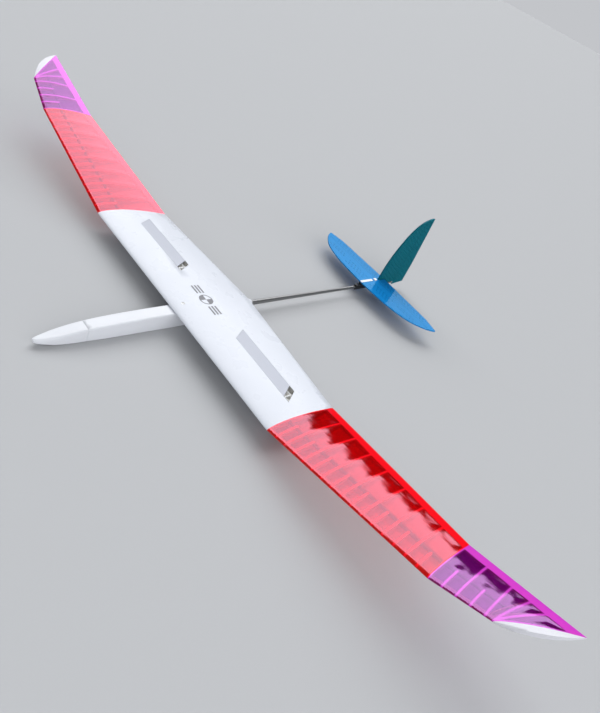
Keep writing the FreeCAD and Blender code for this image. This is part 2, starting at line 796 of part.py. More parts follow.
def pod_sections():
    """(y, half width, top, belly, corner radius) of each station, in the model's frame."""
    rows = [(lead() - size("nose_reach") * (1 - row[0]),) + row[1:] for row in FORE]
    rows += [(lead() + size("root_chord") * row[0],) + row[1:] for row in AFT]
    sections = []
    for y, wide, top, belly, round_share in rows:
        half = wide * size("pod_half_width")
        corner = min(round_share * half, 0.49 * (top - belly) * size("pod_height"))
        low = belly * size("pod_height") if belly else -size("floor_trim")
        sections.append((y, half, top * size("pod_height"), low, corner))
    return sections


def pod_wire(section, wall):
    """Rounded rectangle across the pod, drawn inwards by a wall."""
    y, half, top, belly, corner = section
    half -= wall
    top -= wall
    belly += wall
    corner = max(corner - wall, 0.3)
    dot = corner * (1 - math.sqrt(0.5))
    edges = []
    for x_sign, z_sign, z_edge in ((1, 1, top), (1, -1, belly), (-1, -1, belly), (-1, 1, top)):
        side_point = Vector(x_sign * half, y, z_edge - z_sign * corner)
        flat_point = Vector(x_sign * (half - corner), y, z_edge)
        mid_point = Vector(x_sign * (half - dot), y, z_edge - z_sign * dot)
        ends = (flat_point, mid_point, side_point)
        if x_sign * z_sign < 0:
            ends = ends[::-1]
        if edges:
            edges.append(Part.makeLine(last, ends[0]))
        edges.append(Part.Arc(*ends).toShape())
        last = ends[2]
    edges.append(Part.makeLine(last, edges[0].Vertexes[0].Point))
    return Part.Wire(edges)


def pod_loft(wall, floor=0.0):
    """Solid of the pod's outline drawn inwards by a wall and cut flat at the floor."""
    whole = Part.makeLoft([pod_wire(section, wall) for section in pod_sections()], True, False)
    reach = size("nose_reach") + size("tail_reach")
    return whole.common(Part.makeBox(2 * reach, 2 * reach, reach, Vector(-reach, -reach, floor)))


def span_box(y0, y1):
    """Box that keeps everything between two Y values."""
    reach = 2 * size("stab_half")
    return Part.makeBox(2 * reach, y1 - y0, 2 * reach, Vector(-reach, y0, -reach))


nose_y = lead() - size("nose_reach")
seam_y = nose_y + size("cone_length")
pod_outer = pod_loft(0)
cone_cavity = pod_loft(size("cone_wall"), size("cone_wall")).common(span_box(nose_y + 8, seam_y + 1))
solid("nose_cone", pod_outer.common(span_box(nose_y - 1, seam_y - size("cone_gap"))).cut(cone_cavity))

spigot_inset = size("cone_wall") + size("fit_gap")
spigot_root = seam_y + size("bulkhead")
spigot = pod_loft(spigot_inset, spigot_inset).common(span_box(seam_y - size("spigot_length"), spigot_root))
tunnel_inset = spigot_inset + size("spigot_wall")
tunnel = pod_loft(tunnel_inset, tunnel_inset).common(span_box(nose_y, spigot_root + 2))
cavity_end = lead() + size("boom_start") - size("bulkhead")
cavity = pod_loft(size("pod_wall"), size("pod_wall")).common(span_box(spigot_root, cavity_end))
pod_body = pod_outer.common(span_box(seam_y, lead() + 2 * size("root_chord")))
wing_room = both(wing_half_blank(-size("seat")))
wing_room.Placement = wing_placement
bolt_through = upright(size("bolt_radius") + size("fit_gap"), bolt_at, -6 * size("pod_wall"), 0)
bolt_through.Placement = wing_placement
pin_through = upright(size("pin_radius") + size("seat"), size("pin_station"),
                      -size("pin_length") - size("seat"), 0)
pin_through.Placement = wing_placement


def boom_cone(grow, start, stop):
    """Tapered round solid along the boom's axis, grown in radius, between two stations."""
    length = size("boom_end") - size("boom_start")
    slope = (size("boom_tip_radius") - size("boom_root_radius")) / length
    radii = [size("boom_root_radius") + slope * (at - size("boom_start")) + grow for at in (start, stop)]
    base = Vector(0, lead() + start, size("boom_height"))
    return Part.makeCone(radii[0], radii[1], stop - start, base, Vector(0, 1, 0))


def hook_box(grow, height):
    half_x = size("hook_block_width") / 2 + grow
    half_y = size("hook_block_length") / 2 + grow
    corner = Vector(-half_x, lead() + size("hook_station") - half_y, 0)
    return Part.makeBox(2 * half_x, 2 * half_y, height, corner)


pod_shell = pod_body.fuse(spigot).cut(cavity).cut(tunnel)
for tool in (wing_room, bolt_through, pin_through, hook_box(0, 2 * size("pod_wall")),
             boom_cone(size("snug"), size("boom_start"), size("root_chord") * 1.2),
             boom_cone(-size("boom_wall"), size("boom_start") - 2 * size("bulkhead"),
                       size("boom_start") + 1)):
    pod_shell = pod_shell.cut(tool)
solid("pod_shell", pod_shell)
hook_base = Vector(0, lead() + size("hook_station"), 0)
hook_hole = Part.makeCylinder(size("hook_bore"), size("hook_block_height"), hook_base)
solid("tow_hook_block", hook_box(0, size("hook_block_height")).cut(hook_hole))


# Wing bolt, captive nut and locating pin, square to the wing.

nut_low = -size("nut_depth")
head_top = head_seat + size("bolt_head_height")
slot_side = size("slot_width")
bolt = upright(size("bolt_radius"), bolt_at, nut_low, head_seat + slot_side / 2)
head = upright(size("bolt_head_radius"), bolt_at, head_seat, head_top)
slot_corner = Vector(-size("bolt_head_radius"), bolt_at - slot_side / 2,
                     head_top - slot_side + size("seat"))
slot = Part.makeBox(2 * size("bolt_head_radius"), slot_side, slot_side, slot_corner)
solid("wing_bolt", bolt.fuse(head).removeSplitter().cut(slot), wing_placement)
side = size("nut_side")
nut_corner = Vector(-side / 2, bolt_at - side / 2, nut_low + size("nut_lift"))
nut = Part.makeBox(side, side, size("nut_thick"), nut_corner)
nut_hole = upright(size("bolt_radius") + size("snug"), bolt_at, WING_DEEP, WING_HIGH)
post_corners = [nut_corner + Vector(x, 0, size("nut_thick")) for x in (0, side - size("post_width"))]
nut_posts = [Part.makeBox(size("post_width"), side, size("post_height"), corner) for corner in post_corners]
nut_plate = nut.fuse(nut_posts).removeSplitter().cut(nut_hole)
nut_plate.Placement = wing_placement
solid("wing_nut_plate", nut_plate.common(cavity).cut(wing_room))
pin = upright(size("pin_radius"), size("pin_station"), -size("pin_length"), 0)
solid("locating_pin", pin, wing_placement)


# ---------------------------------------------------------------- boom and controls

def rod_slot(x0, x1, y0, y1, z0, z1):
    return Part.makeBox(x1 - x0, y1 - y0, z1 - z0, Vector(x0, lead() + y0, z0))


boom = boom_cone(0, size("boom_start"), size("boom_end"))
boom = boom.cut(boom_cone(-size("boom_wall"), size("boom_start"), size("boom_end")))
axis_z = size("boom_height")
half_slot = size("slot_half")
horn_slot = rod_slot(-half_slot, half_slot, size("hinge_station") - size("horn_slot_front"),
                     size("hinge_station") + size("horn_slot_rear"), axis_z, axis_z + size("horn_slot_rise"))
exit_start = size("elevator_trail") - size("rod_exit")
exit_slot = rod_slot(-2 * size("boom_tip_radius"), -2 * size("rod_radius"), exit_start,
                     size("boom_end") - size("exit_margin"), axis_z - half_slot, axis_z + half_slot)
solid("tail_boom", boom.cut(horn_slot).cut(exit_slot))
plug = boom_cone(-size("boom_wall") - size("seat"), size("boom_end") - size("plug_depth"), size("boom_end"))
plug_base = Vector(0, lead() + size("boom_end"), axis_z)
plug_head = Part.makeCylinder(size("boom_tip_radius"), size("plug_head"), plug_base, Vector(0, 1, 0))
solid("boom_end_plug", plug.fuse(plug_head).removeSplitter())


def rod(points):
    """Wire rod along straight runs, with a ball at each bend."""
    radius = size("rod_radius")
    shape = None
    for first, second in zip(points, points[1:]):
        run = Part.makeCylinder(radius, (second - first).Length, first, second - first)
        shape = run if shape is None else shape.fuse([run, Part.makeSphere(radius, first)])
    return shape.removeSplitter()


def rod_point(x, at):
    return Vector(x, lead() + at, axis_z)


servo_middle = size("servo_station")
rudder_servo_at = servo_middle + size("servo_spacing")
overlap = size("rod_overlap")
solid("elevator_pushrod", rod([rod_point(size("rod_offset"), servo_middle - overlap),
                               rod_point(size("rod_offset"), size("hinge_station") + size("horn_rear"))]))
solid("rudder_pushrod", rod([rod_point(-size("rod_offset"), rudder_servo_at - overlap),
                             rod_point(-size("rod_offset"), exit_start + overlap + 1),
                             rod_point(-size("rudder_horn_reach"), size("boom_end") - size("rod_bend")),
                             rod_point(-size("rudder_horn_reach"), size("rudder_hinge") + 2 * overlap)]))

SERVO_TOP = "Sheet.boom_height - Sheet.rod_radius - Sheet.rod_drop - Sheet.arm_thick - Sheet.hub_lift"
LUG_LOW = SERVO_TOP + " - Sheet.lug_drop"


def servo(word, sign, middle):
    """Upright servo beside the centre line; its arm reaches across to the pushrod."""
    pivot_x = "%d * (Sheet.arm_radius - Sheet.rod_offset)" % sign
    side_x = pivot_x + " - Sheet.servo_width / 2"
    front = middle + " - Sheet.servo_length * Sheet.shaft_share"
    case = box(word + "_case", (side_x, front, SERVO_TOP + " - Sheet.servo_height"),
               ("Sheet.servo_width", "Sheet.servo_length", "Sheet.servo_height"))
    lugs = box(word + "_lugs", (side_x, front + " - Sheet.lug_length", LUG_LOW),
               ("Sheet.servo_width", "Sheet.servo_length + 2 * Sheet.lug_length", "Sheet.lug_thick"))
    boss = cylinder(word + "_boss", (pivot_x, middle, SERVO_TOP), "Sheet.boss_radius", "Sheet.boss_height")
    register(word + "_servo", fuse(word + "_servo", [case, lugs, boss]))
    arm_low = SERVO_TOP + " + Sheet.hub_lift"
    hub = cylinder(word + "_hub", (pivot_x, middle, arm_low), "Sheet.hub_radius", "Sheet.arm_thick")
    reach = "Sheet.arm_radius + Sheet.arm_end"
    corner = pivot_x if sign < 0 else pivot_x + " - (" + reach + ")"
    bar = box(word + "_bar", (corner, middle + " - Sheet.arm_width / 2", arm_low),
              (reach, "Sheet.arm_width", "Sheet.arm_thick"))
    register(word + "_servo_arm", fuse(word + "_servo_arm", [hub, bar]))


SERVOS = (("elevator", -1, station("servo_station")),
          ("rudder", 1, station("servo_station") + " + Sheet.servo_spacing"))
for servo_word, servo_sign, servo_middle_y in SERVOS:
    servo(servo_word, servo_sign, servo_middle_y)

# Servo tray: plywood plate across the pod under the servo lugs, with a window for each servo.
TRAY_LOW = LUG_LOW + " - Sheet.tray_thick"
TRAY_HALF = "(Sheet.pod_half_width - Sheet.pod_wall - Sheet.fit_gap - Sheet.tray_margin)"
tray_plate = box("servo_tray_plate",
                 ("-" + TRAY_HALF, station("servo_station") + " - Sheet.tray_front", TRAY_LOW),
                 ("2 * " + TRAY_HALF, "Sheet.tray_length", "Sheet.tray_thick"))


def servo_window(word, sign, middle):
    low_x = "%d * (Sheet.arm_radius - Sheet.rod_offset) - Sheet.servo_width / 2 - Sheet.window_gap" % sign
    low_y = middle + " - Sheet.servo_length * Sheet.shaft_share - Sheet.window_gap"
    return box(word + "_window", (low_x, low_y, TRAY_LOW + " - Sheet.tray_thick / 2"),
               ("Sheet.servo_width + 2 * Sheet.window_gap", "Sheet.servo_length + 2 * Sheet.window_gap",
                "2 * Sheet.tray_thick"))


windows = fuse("servo_windows", [servo_window(*row) for row in SERVOS])
register("servo_tray", cut("servo_tray", tray_plate, windows))

# Equipment tray from the pod into the nose cone, with ballast, battery and receiver on it.
TRAY_TOP = "Sheet.equipment_level + Sheet.tray_thick"
BOARD_HALF = "(Sheet.ballast_width / 2 + 1)"
tray_board = box("tray_board", ("-" + BOARD_HALF, station("equipment_front"), "Sheet.equipment_level"),
                 ("2 * " + BOARD_HALF, "Sheet.equipment_rear - Sheet.equipment_front", "Sheet.tray_thick"))
tray_foot = box("tray_foot",
                ("-" + BOARD_HALF, station("equipment_rear") + " - Sheet.foot_length - Sheet.foot_back",
                 "Sheet.pod_wall + Sheet.seat"),
                ("2 * " + BOARD_HALF, "Sheet.foot_length", "Sheet.equipment_level - Sheet.pod_wall"))
register("equipment_tray", fuse("equipment_tray", [tray_board, tray_foot]))


def on_tray(label, front, length, width, height):
    register(label, box(label, ("-Sheet.%s / 2" % width, station(front), TRAY_TOP),
                        ("Sheet." + width, "Sheet." + length, "Sheet." + height)))


on_tray("nose_ballast", "equipment_front", "ballast_length", "ballast_width", "ballast_height")
on_tray("battery", "battery_station", "battery_length", "battery_width", "battery_height")
on_tray("receiver", "receiver_station", "receiver_length", "receiver_width", "receiver_height")


# ---------------------------------------------------------------- tail

STAB_CURVE = ((0.0, 0.0), (0.235, 0.027), (0.44, 0.075), (0.625, 0.185), (0.77, 0.337), (0.89, 0.58),
              (0.965, 0.80), (1.0, 1.0))
FIN_CURVE = ((0.0, 0.0), (0.017, 0.30), (0.155, 0.587), (0.43, 0.849), (1.0, 1.0))


def tailplane_blank():
    """Whole plate: curved leading edge and a nearly straight trailing edge, which ends at the tips."""
    y0 = lead() + size("stab_lead")
    depth = size("stab_tip_station") - size("stab_lead")
    z = size("stab_height") - size("stab_thick") / 2
    left = [Vector(x * size("stab_half"), y0 + y * depth, z) for x, y in STAB_CURVE]
    right = [Vector(-point.x, point.y, z) for point in left[:0:-1]]
    tail_y = lead() + size("elevator_trail")
    knee_x = size("stab_half") * 0.8
    knee_y = tail_y - (size("elevator_trail") - size("stab_tip_station")) / 3
    tail = [left[-1], Vector(knee_x, knee_y, z), Vector(0, tail_y, z), Vector(-knee_x, knee_y, z), right[0]]
    edges = [spline(right + left)] + [Part.makeLine(a, b) for a, b in zip(tail, tail[1:])]
    return Part.Face(Part.Wire(edges)).extrude(Vector(0, 0, size("stab_thick")))


def bevel(angle, thick):
    return math.tan(math.radians(angle)) * thick


blank = tailplane_blank()
hinge_y = lead() + size("hinge_station")
top_z = size("stab_height") + size("stab_thick") / 2
low_z = top_z - size("stab_thick")
screw_low = top_z + size("strap_thick") - size("tail_screw_length")
screw_ys = [lead() + size("strap_station") + size("strap_length") * share for share in (0.2, 0.8)]


def screw_holes(shape, radius):
    """The shape with the two tail screws' holes through it."""
    for y in screw_ys:
        base = Vector(0, y, screw_low - size("fit_gap"))
        shape = shape.cut(Part.makeCylinder(radius, 2 * size("tail_screw_length"), base))
    return shape


plate = blank.common(span_box(lead() + size("stab_lead") - 5, hinge_y - size("hinge_gap") / 2))
solid("stabilizer", screw_holes(plate, size("tail_screw_radius") + size("seat")))
wedge_y = hinge_y + size("hinge_gap") / 2
elevator = blank.common(span_box(wedge_y, lead() + size("tail_reach")))
wide = 2 * size("stab_half")
wedge = prism([Vector(-wide, wedge_y - 1, top_z), Vector(-wide, wedge_y, top_z),
               Vector(-wide, wedge_y + bevel(size("elevator_bevel"), size("stab_thick")), low_z),
               Vector(-wide, wedge_y - 1, low_z)], Vector(2 * wide, 0, 0))
notch = Part.makeBox(2 * size("notch_half"), 100, 40,
                     Vector(-size("notch_half"), hinge_y + size("bridge_depth"), low_z - 20))
solid("elevator", elevator.cut(wedge).cut(notch))

horn_half = size("horn_thick") / 2
horn_top = low_z - size("snug")
horn_end = axis_z - size("horn_low")
horn = prism([Vector(-horn_half, hinge_y + size(name), z) for name, z in
              (("horn_front", horn_top), ("horn_rear", horn_top), ("horn_end_rear", horn_end),
               ("horn_end_front", horn_end))], Vector(size("horn_thick"), 0, 0))
solid("elevator_horn", horn)


def fin_edge(x):
    """Leading edge of the fin from the tailplane's level up to the pointed tip."""
    y0 = lead() + size("fin_lead")
    z0 = size("wing_height")
    run = size("fin_tip_station") - size("fin_lead")
    rise = size("fin_tip_height") - z0
    return [Vector(x, y0 + y * run, z0 + z * rise) for y, z in FIN_CURVE]


def fin_blank():
    x = -size("fin_thick") / 2
    front = fin_edge(x)
    foot = low_z - 1.5
    tail_base = Vector(x, lead() + size("tail_reach"), size("rudder_toe"))
    tail_knee = Vector(x, lead() + size("fin_tip_station") + 22, size("wing_height") + 60)
    corners = [front[-1], tail_knee, tail_base, Vector(x, lead() + size("rudder_hinge"), size("rudder_heel")),
               Vector(x, lead() + size("rudder_hinge"), axis_z), Vector(x, front[0].y + 7, axis_z),
               Vector(x, front[0].y + 7, foot - 4), Vector(x, front[0].y, foot), front[0]]
    edges = [spline(front)] + [Part.makeLine(a, b) for a, b in zip(corners, corners[1:])]
    return Part.Face(Part.Wire(edges)).extrude(Vector(size("fin_thick"), 0, 0))


fin_whole = fin_blank()
rudder_y = lead() + size("rudder_hinge")
boom_room = boom_cone(size("seat"), size("boom_end") - 150, size("boom_end") + 5)
boom_room = boom_room.fuse(Part.makeBox(20, 200, 20, Vector(-10, rudder_y - 200, axis_z - 20)))
above_boom = Part.makeBox(20, 200, 400, Vector(-10, lead() + size("fin_lead") - 50, axis_z))
fin = fin_whole.common(span_box(lead() + size("fin_lead") - 5, rudder_y - size("hinge_gap") / 2))
solid("fin", fin.common(above_boom).cut(boom_room))
half_fin = size("fin_thick") / 2
face_y = rudder_y + size("hinge_gap") / 2
rudder_wedge = prism([Vector(half_fin, face_y, 0), Vector(half_fin, face_y - 1, 0),
                      Vector(-half_fin, face_y - 1, 0),
                      Vector(-half_fin, face_y + bevel(size("rudder_bevel"), size("fin_thick")), 0)],
                     Vector(0, 0, 2 * size("fin_tip_height")))
solid("rudder", fin_whole.common(span_box(face_y, rudder_y + 200)).cut(rudder_wedge))
horn_tip = -size("rudder_horn_reach") - 4 * size("rod_radius")
horn_foot = -half_fin - size("snug")
horn_level = axis_z - size("rod_radius") - size("hinge_gap") - size("rudder_horn_thick")
root_y = rudder_y + size("rudder_horn_back")
rudder_horn = prism([Vector(horn_foot, root_y, horn_level),
                     Vector(horn_foot, root_y + size("rudder_horn_base"), horn_level),
                     Vector(horn_tip, root_y, horn_level), Vector(horn_tip, rudder_y - 1, horn_level)],
                    Vector(0, 0, size("rudder_horn_thick")))
solid("rudder_horn", rudder_horn)

# Tailplane mount: saddle block clamped round the boom, under the plate; strap and screws on top.
mount_end = size("mount_lead") + size("mount_length")
saddle_low = axis_z - size("boom_tip_radius") - size("saddle_drop")
mount = Part.makeBox(size("mount_width"), size("mount_length"), low_z - saddle_low,
                     Vector(-size("mount_width") / 2, lead() + size("mount_lead"), saddle_low))
mount = mount.cut(span_box(0, lead() + size("stab_lead") - 1).common(
    Part.makeBox(size("nose_reach"), size("tail_reach"), size("tail_reach"),
                 Vector(-size("nose_reach") / 2, 0, low_z - size("saddle_step")))))
mount = mount.fuse(boom_cone(size("collar_wall"), size("mount_lead"), mount_end))
mount = mount.cut(boom_cone(size("snug"), size("mount_lead") - 1, mount_end + 1))
mount = screw_holes(mount, size("tail_screw_radius") + size("snug") / 2)
solid("stab_mount", mount.removeSplitter())
strap = Part.makeBox(size("strap_width"), size("strap_length"), size("strap_thick"),
                     Vector(-size("strap_width") / 2, lead() + size("strap_station"), top_z))
solid("stab_strap", screw_holes(strap, size("tail_screw_radius") + size("seat")))
screws = []
for y in screw_ys:
    shank = Part.makeCylinder(size("tail_screw_radius"), size("tail_screw_length"), Vector(0, y, screw_low))
    cap_base = Vector(0, y, top_z + size("strap_thick"))
    cap = Part.makeCylinder(size("tail_screw_head"), size("tail_screw_cap"), cap_base)
    screws.append(shank.fuse(cap).removeSplitter())
solid("stab_screws", group(screws))
clip = Part.makeBox(size("strap_width"), size("clip_length"), size("clip_height"),
                    Vector(-size("strap_width") / 2, hinge_y - size("clip_length") - 1, top_z))
solid("fin_clip", clip)


# ---------------------------------------------------------------- check and write

doc.recompute()
for obj in doc.Objects:
    assert not {"Invalid", "Error"} & set(obj.State), obj.Label
for label, obj in nodes.items():
    assert not obj.Shape.isNull() and obj.Shape.isValid() and obj.Shape.Solids, label
os.makedirs("parts", exist_ok=True)
for label, obj in nodes.items():
    obj.Shape.exportStep("parts/%s.step" % label)
print(len(nodes), "sub-parts written")
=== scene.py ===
import math

import bmesh
import bpy
from mathutils import Matrix, Vector
from mathutils.bvhtree import BVHTree


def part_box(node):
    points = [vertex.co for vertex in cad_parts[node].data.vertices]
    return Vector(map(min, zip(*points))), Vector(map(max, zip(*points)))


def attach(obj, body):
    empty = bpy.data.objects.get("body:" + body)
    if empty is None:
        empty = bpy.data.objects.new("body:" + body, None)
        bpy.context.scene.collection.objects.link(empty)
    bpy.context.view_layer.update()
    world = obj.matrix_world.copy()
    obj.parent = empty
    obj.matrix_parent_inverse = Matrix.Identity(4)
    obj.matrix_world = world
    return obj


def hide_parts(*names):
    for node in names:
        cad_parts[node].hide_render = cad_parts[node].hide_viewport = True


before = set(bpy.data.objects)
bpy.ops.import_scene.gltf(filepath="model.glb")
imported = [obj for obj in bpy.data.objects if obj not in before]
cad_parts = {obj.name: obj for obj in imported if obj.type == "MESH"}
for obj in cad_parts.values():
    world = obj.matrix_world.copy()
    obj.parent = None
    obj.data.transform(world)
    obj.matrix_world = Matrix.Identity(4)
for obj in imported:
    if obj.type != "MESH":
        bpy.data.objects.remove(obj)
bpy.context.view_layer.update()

# Looks of the sailplane: film-covered wing, moulded pod, tapered boom and perforated tail. Metres, in
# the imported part's frame: X along the span (+X is the aircraft's left), Y aft, Z up. Wing shapes are
# worked out in the wing's own coordinates, with Y aft of the leading edge, and then placed.

MM = 0.001

# ---------------------------------------------------------------- wing sizes

NOSE_REACH = 311 * MM              # wing leading edge to nose tip
WING_HEIGHT = 46.5 * MM            # leading edge above the belly
INCIDENCE = math.radians(1.6)
THICKNESS_RATIO = 0.082
CAMBER_RATIO = 0.024
CAMBER_PEAK = 0.42                 # share of the chord
TAIL_EDGE = 1.0 * MM               # thickness left at the tail edge
LEADING_DEPTH = 9 * MM             # leading edge strip, front to back
TRAILING_WIDTH = 22 * MM           # trailing edge strip
FILM = 0.25 * MM                   # thickness drawn for the covering
FILM_SAG = 0.6 * MM                # how far the film sinks between the ribs
SAG_REACH = 11 * MM                # distance from a rib over which it sinks
CENTRE_HALF = 383 * MM             # half the flat centre panel
MIDDLE_SPAN = 410 * MM
TIP_SPAN = 227 * MM
MIDDLE_BAYS = 8
TIP_PITCH = 50.7 * MM
CAP_START = 115 * MM               # where the tip cap's joint leaves the leading edge
TIP_RIBS = 3                       # ribs square to the span; the rest of the tip panel has a fan
FAN_FEET = (2.8, 3.5)              # where the fan's ribs meet the tail, in rib pitches
RIBLET_SHARE = 0.30                # length of the short nose ribs, of the chord
TIP_RIBLET_SHARE = 1.2 * RIBLET_SHARE

SECTION_STEP = 1e-4                # used to find the direction of the surface

lead_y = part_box("nose_cone")[0].y + NOSE_REACH

# ---------------------------------------------------------------- aerofoil and panels


def camber(x):
    """Height of the middle line for a chord of 1, at x aft of the nose."""
    if x < CAMBER_PEAK:
        return CAMBER_RATIO * (2 * CAMBER_PEAK * x - x * x) / CAMBER_PEAK ** 2
    rest = 1 - 2 * CAMBER_PEAK + 2 * CAMBER_PEAK * x - x * x
    return CAMBER_RATIO * rest / (1 - CAMBER_PEAK) ** 2


def aerofoil(s, chord):
    """Section point (aft, up); s runs from -1, the lower tail edge, by 0, the nose, to 1, the upper."""
    x = s * s                      # thickness follows the usual four-digit section's law
    half = 0.2969 * abs(s) - 0.1260 * x - 0.3516 * x ** 2 + 0.2843 * x ** 3 - 0.1036 * x ** 4
    rise = math.copysign(5 * THICKNESS_RATIO * half * chord + TAIL_EDGE * x / 2, s)
    return x * chord, camber(x) * chord + rise


def inset_point(s, chord, inset):
    """Section point moved inwards by inset, square to the surface."""
    step = SECTION_STEP
    (y0, z0), (y1, z1) = aerofoil(s - step, chord), aerofoil(s + step, chord)
    length = math.hypot(y1 - y0, z1 - z0)
    y, z = aerofoil(s, chord)
    return y + inset * (z1 - z0) / length, z - inset * (y1 - y0) / length


class Panel:
    """One straight length of the left wing whose end faces lean to meet the next panel."""

    def __init__(self, start, degrees, length, sweeps, chords, leans):
        self.start = start
        self.angle = math.radians(degrees)
        self.length = length
        self.sweeps = [value * MM for value in sweeps]
        self.chords = [value * MM for value in chords]
        self.leans = [math.tan(math.radians(lean)) for lean in leans]

    def share(self, u, pair):
        """A size at u along the panel, from its values at the two ends."""
        return pair[0] + (pair[1] - pair[0]) * u / self.length

    def place(self, u, v, w):
        """Wing point for u along the panel, v aft and w square to its plane."""
        x = self.start.x + u * math.cos(self.angle) - w * math.sin(self.angle)
        return Vector((x, v, self.start.z + u * math.sin(self.angle) + w * math.cos(self.angle)))

    def end(self):
        return self.place(self.length, 0, 0)


centre = Panel(Vector(), 0, CENTRE_HALF, (0, 0), (234, 202), (0, -5.2))
middle = Panel(centre.end(), 10.4, MIDDLE_SPAN, (0, 10.6), (202, 142), (5.2, -4.8))
tip = Panel(middle.end(), 20.0, TIP_SPAN, (10.6, 29.5), (142, 92), (4.8, 0))

wing_place = Matrix.Translation((0, lead_y, WING_HEIGHT)) @ Matrix.Rotation(-INCIDENCE, 4, "X")


def rake_ends():
    """Plan points (u, v) of the raked joint between the tip panel and its cap."""
    front = (CAP_START, tip.share(CAP_START, tip.sweeps))
    return front, (TIP_SPAN, tip.sweeps[1] + tip.chords[1])


def raked_end(v):
    """Where the tip panel ends along u, at a distance v aft."""
    front, rear = rake_ends()
    return front[0] + (rear[0] - front[0]) * (v - front[1]) / (rear[1] - front[1])


# ---------------------------------------------------------------- mesh helpers

MERGE = 1e-6                       # points nearer than this are one
CAD_MERGE = 2e-6                   # the same, on a copy of a CAD mesh
SHARP_ANGLE = math.radians(40)     # faces bent more than this meet at a sharp edge


def make_piece(name, verts, faces, material, body, node=None, smooth=True):
    """A mesh that rides on a body, with its normals turned outwards, in place of a CAD node."""
    mesh = bpy.data.meshes.new(name)
    mesh.from_pydata(verts, [], faces)
    mesh.update()
    return settle(name, mesh, material, body, node, smooth)


def settle(name, mesh, material, body, node=None, smooth=True):
    """Joins a mesh up, gives it its finish and hangs it on its body."""
    piece = bpy.data.objects.new(name, mesh)
    bpy.context.scene.collection.objects.link(piece)
    bm = bmesh.new()
    bm.from_mesh(mesh)
    bmesh.ops.remove_doubles(bm, verts=bm.verts, dist=MERGE)
    bmesh.ops.recalc_face_normals(bm, faces=bm.faces)
    bm.to_mesh(mesh)
    bm.free()
    mesh.polygons.foreach_set("use_smooth", [smooth] * len(mesh.polygons))
    if smooth:
        mesh.set_sharp_from_angle(angle=SHARP_ANGLE)
    mesh.materials.clear()
    mesh.materials.append(material)
    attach(piece, body)
    if node:
        for one in node if isinstance(node, tuple) else (node,):
            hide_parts(one)
    return piece


def finish_node(node, material):
    """A CAD node whose shape is right keeps its mesh and gets its finish."""
    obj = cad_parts[node]
    obj.data.materials.clear()
    obj.data.materials.append(material)


def copy_mesh(node, name):
    """A CAD node's mesh with its loose triangles joined up."""
    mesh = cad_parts[node].data.copy()
    mesh.name = name
    bm = bmesh.new()
    bm.from_mesh(mesh)
    bmesh.ops.remove_doubles(bm, verts=bm.verts, dist=CAD_MERGE)
    bm.to_mesh(mesh)
    bm.free()
    return mesh


def smooth_copy(node, material, body):
    """The CAD node's own shape, joined up so that it shades as one smooth skin."""
    return settle(node + "_skin", copy_mesh(node, node + "_skin"), material, body, node)


def grid_faces(columns, rows, wrap=False):
    """Quads of a grid with its points stored column by column."""
    last = rows if wrap else rows - 1
    return [(c * rows + r, c * rows + (r + 1) % rows,
             (c + 1) * rows + (r + 1) % rows, (c + 1) * rows + r)
            for c in range(columns - 1) for r in range(last)]


# ---------------------------------------------------------------- materials

TONE_SCALE = 14                    # patches of slightly different tone, about 7 cm across
RIPPLE_SCALE = 46                  # wrinkles in the film, drawn out along the span
RIPPLE_STRETCH = (0.30, 1.5, 1)
RIPPLE_DEPTH = 0.6 * MM
FILM_FINE_SCALE = 420              # uneven gloss of the film
GRAIN_DEPTH = 0.2 * MM
NOISE_RANGE = (0.3, 0.7)           # noise rarely leaves this range
FILM_GLOSS = 0.09                  # share of light the film throws back when faced
TOW_SCALE = 260                    # turns of the carbon tow
TOW_DEPTH = 0.1 * MM


def new_material(name):
    """A material, its tree, its main shader and its output."""
    material = bpy.data.materials.new(name)
    material.use_nodes = True
    nodes = material.node_tree.nodes
    return material, material.node_tree, nodes["Principled BSDF"], nodes["Material Output"]


def object_noise(tree, scale, detail=4.0, stretch=(1, 1, 1)):
    """Noise on Object coordinates, stretched along the axes."""
    place = tree.nodes.new("ShaderNodeTexCoord")
    mapping = tree.nodes.new("ShaderNodeMapping")
    mapping.inputs["Scale"].default_value = stretch
    noise = tree.nodes.new("ShaderNodeTexNoise")
    noise.inputs["Scale"].default_value = scale
    noise.inputs["Detail"].default_value = detail
    tree.links.new(place.outputs["Object"], mapping.inputs["Vector"])
    tree.links.new(mapping.outputs["Vector"], noise.inputs["Vector"])
    return noise.outputs["Fac"]


def ramp(tree, value, low, high):
    """Maps a 0 to 1 value to between two colours or greys."""
    node = tree.nodes.new("ShaderNodeMix")
    node.data_type = "RGBA"
    node.inputs["A"].default_value = (*low, 1)
    node.inputs["B"].default_value = (*high, 1)
    tree.links.new(value, node.inputs["Factor"])
    return node.outputs["Result"]


def span_value(tree, value, low, high):
    """Spreads a noise value between low and high."""
    node = tree.nodes.new("ShaderNodeMapRange")
    node.inputs["From Min"].default_value = NOISE_RANGE[0]
    node.inputs["From Max"].default_value = NOISE_RANGE[1]
    node.inputs["To Min"].default_value = low
    node.inputs["To Max"].default_value = high
    tree.links.new(value, node.inputs["Value"])
    return node.outputs["Result"]


def bump(tree, height, strength, distance):
    """Surface direction of a fine relief."""
    node = tree.nodes.new("ShaderNodeBump")
    node.inputs["Strength"].default_value = strength
    node.inputs["Distance"].default_value = distance
    tree.links.new(height, node.inputs["Height"])
    return node.outputs["Normal"]


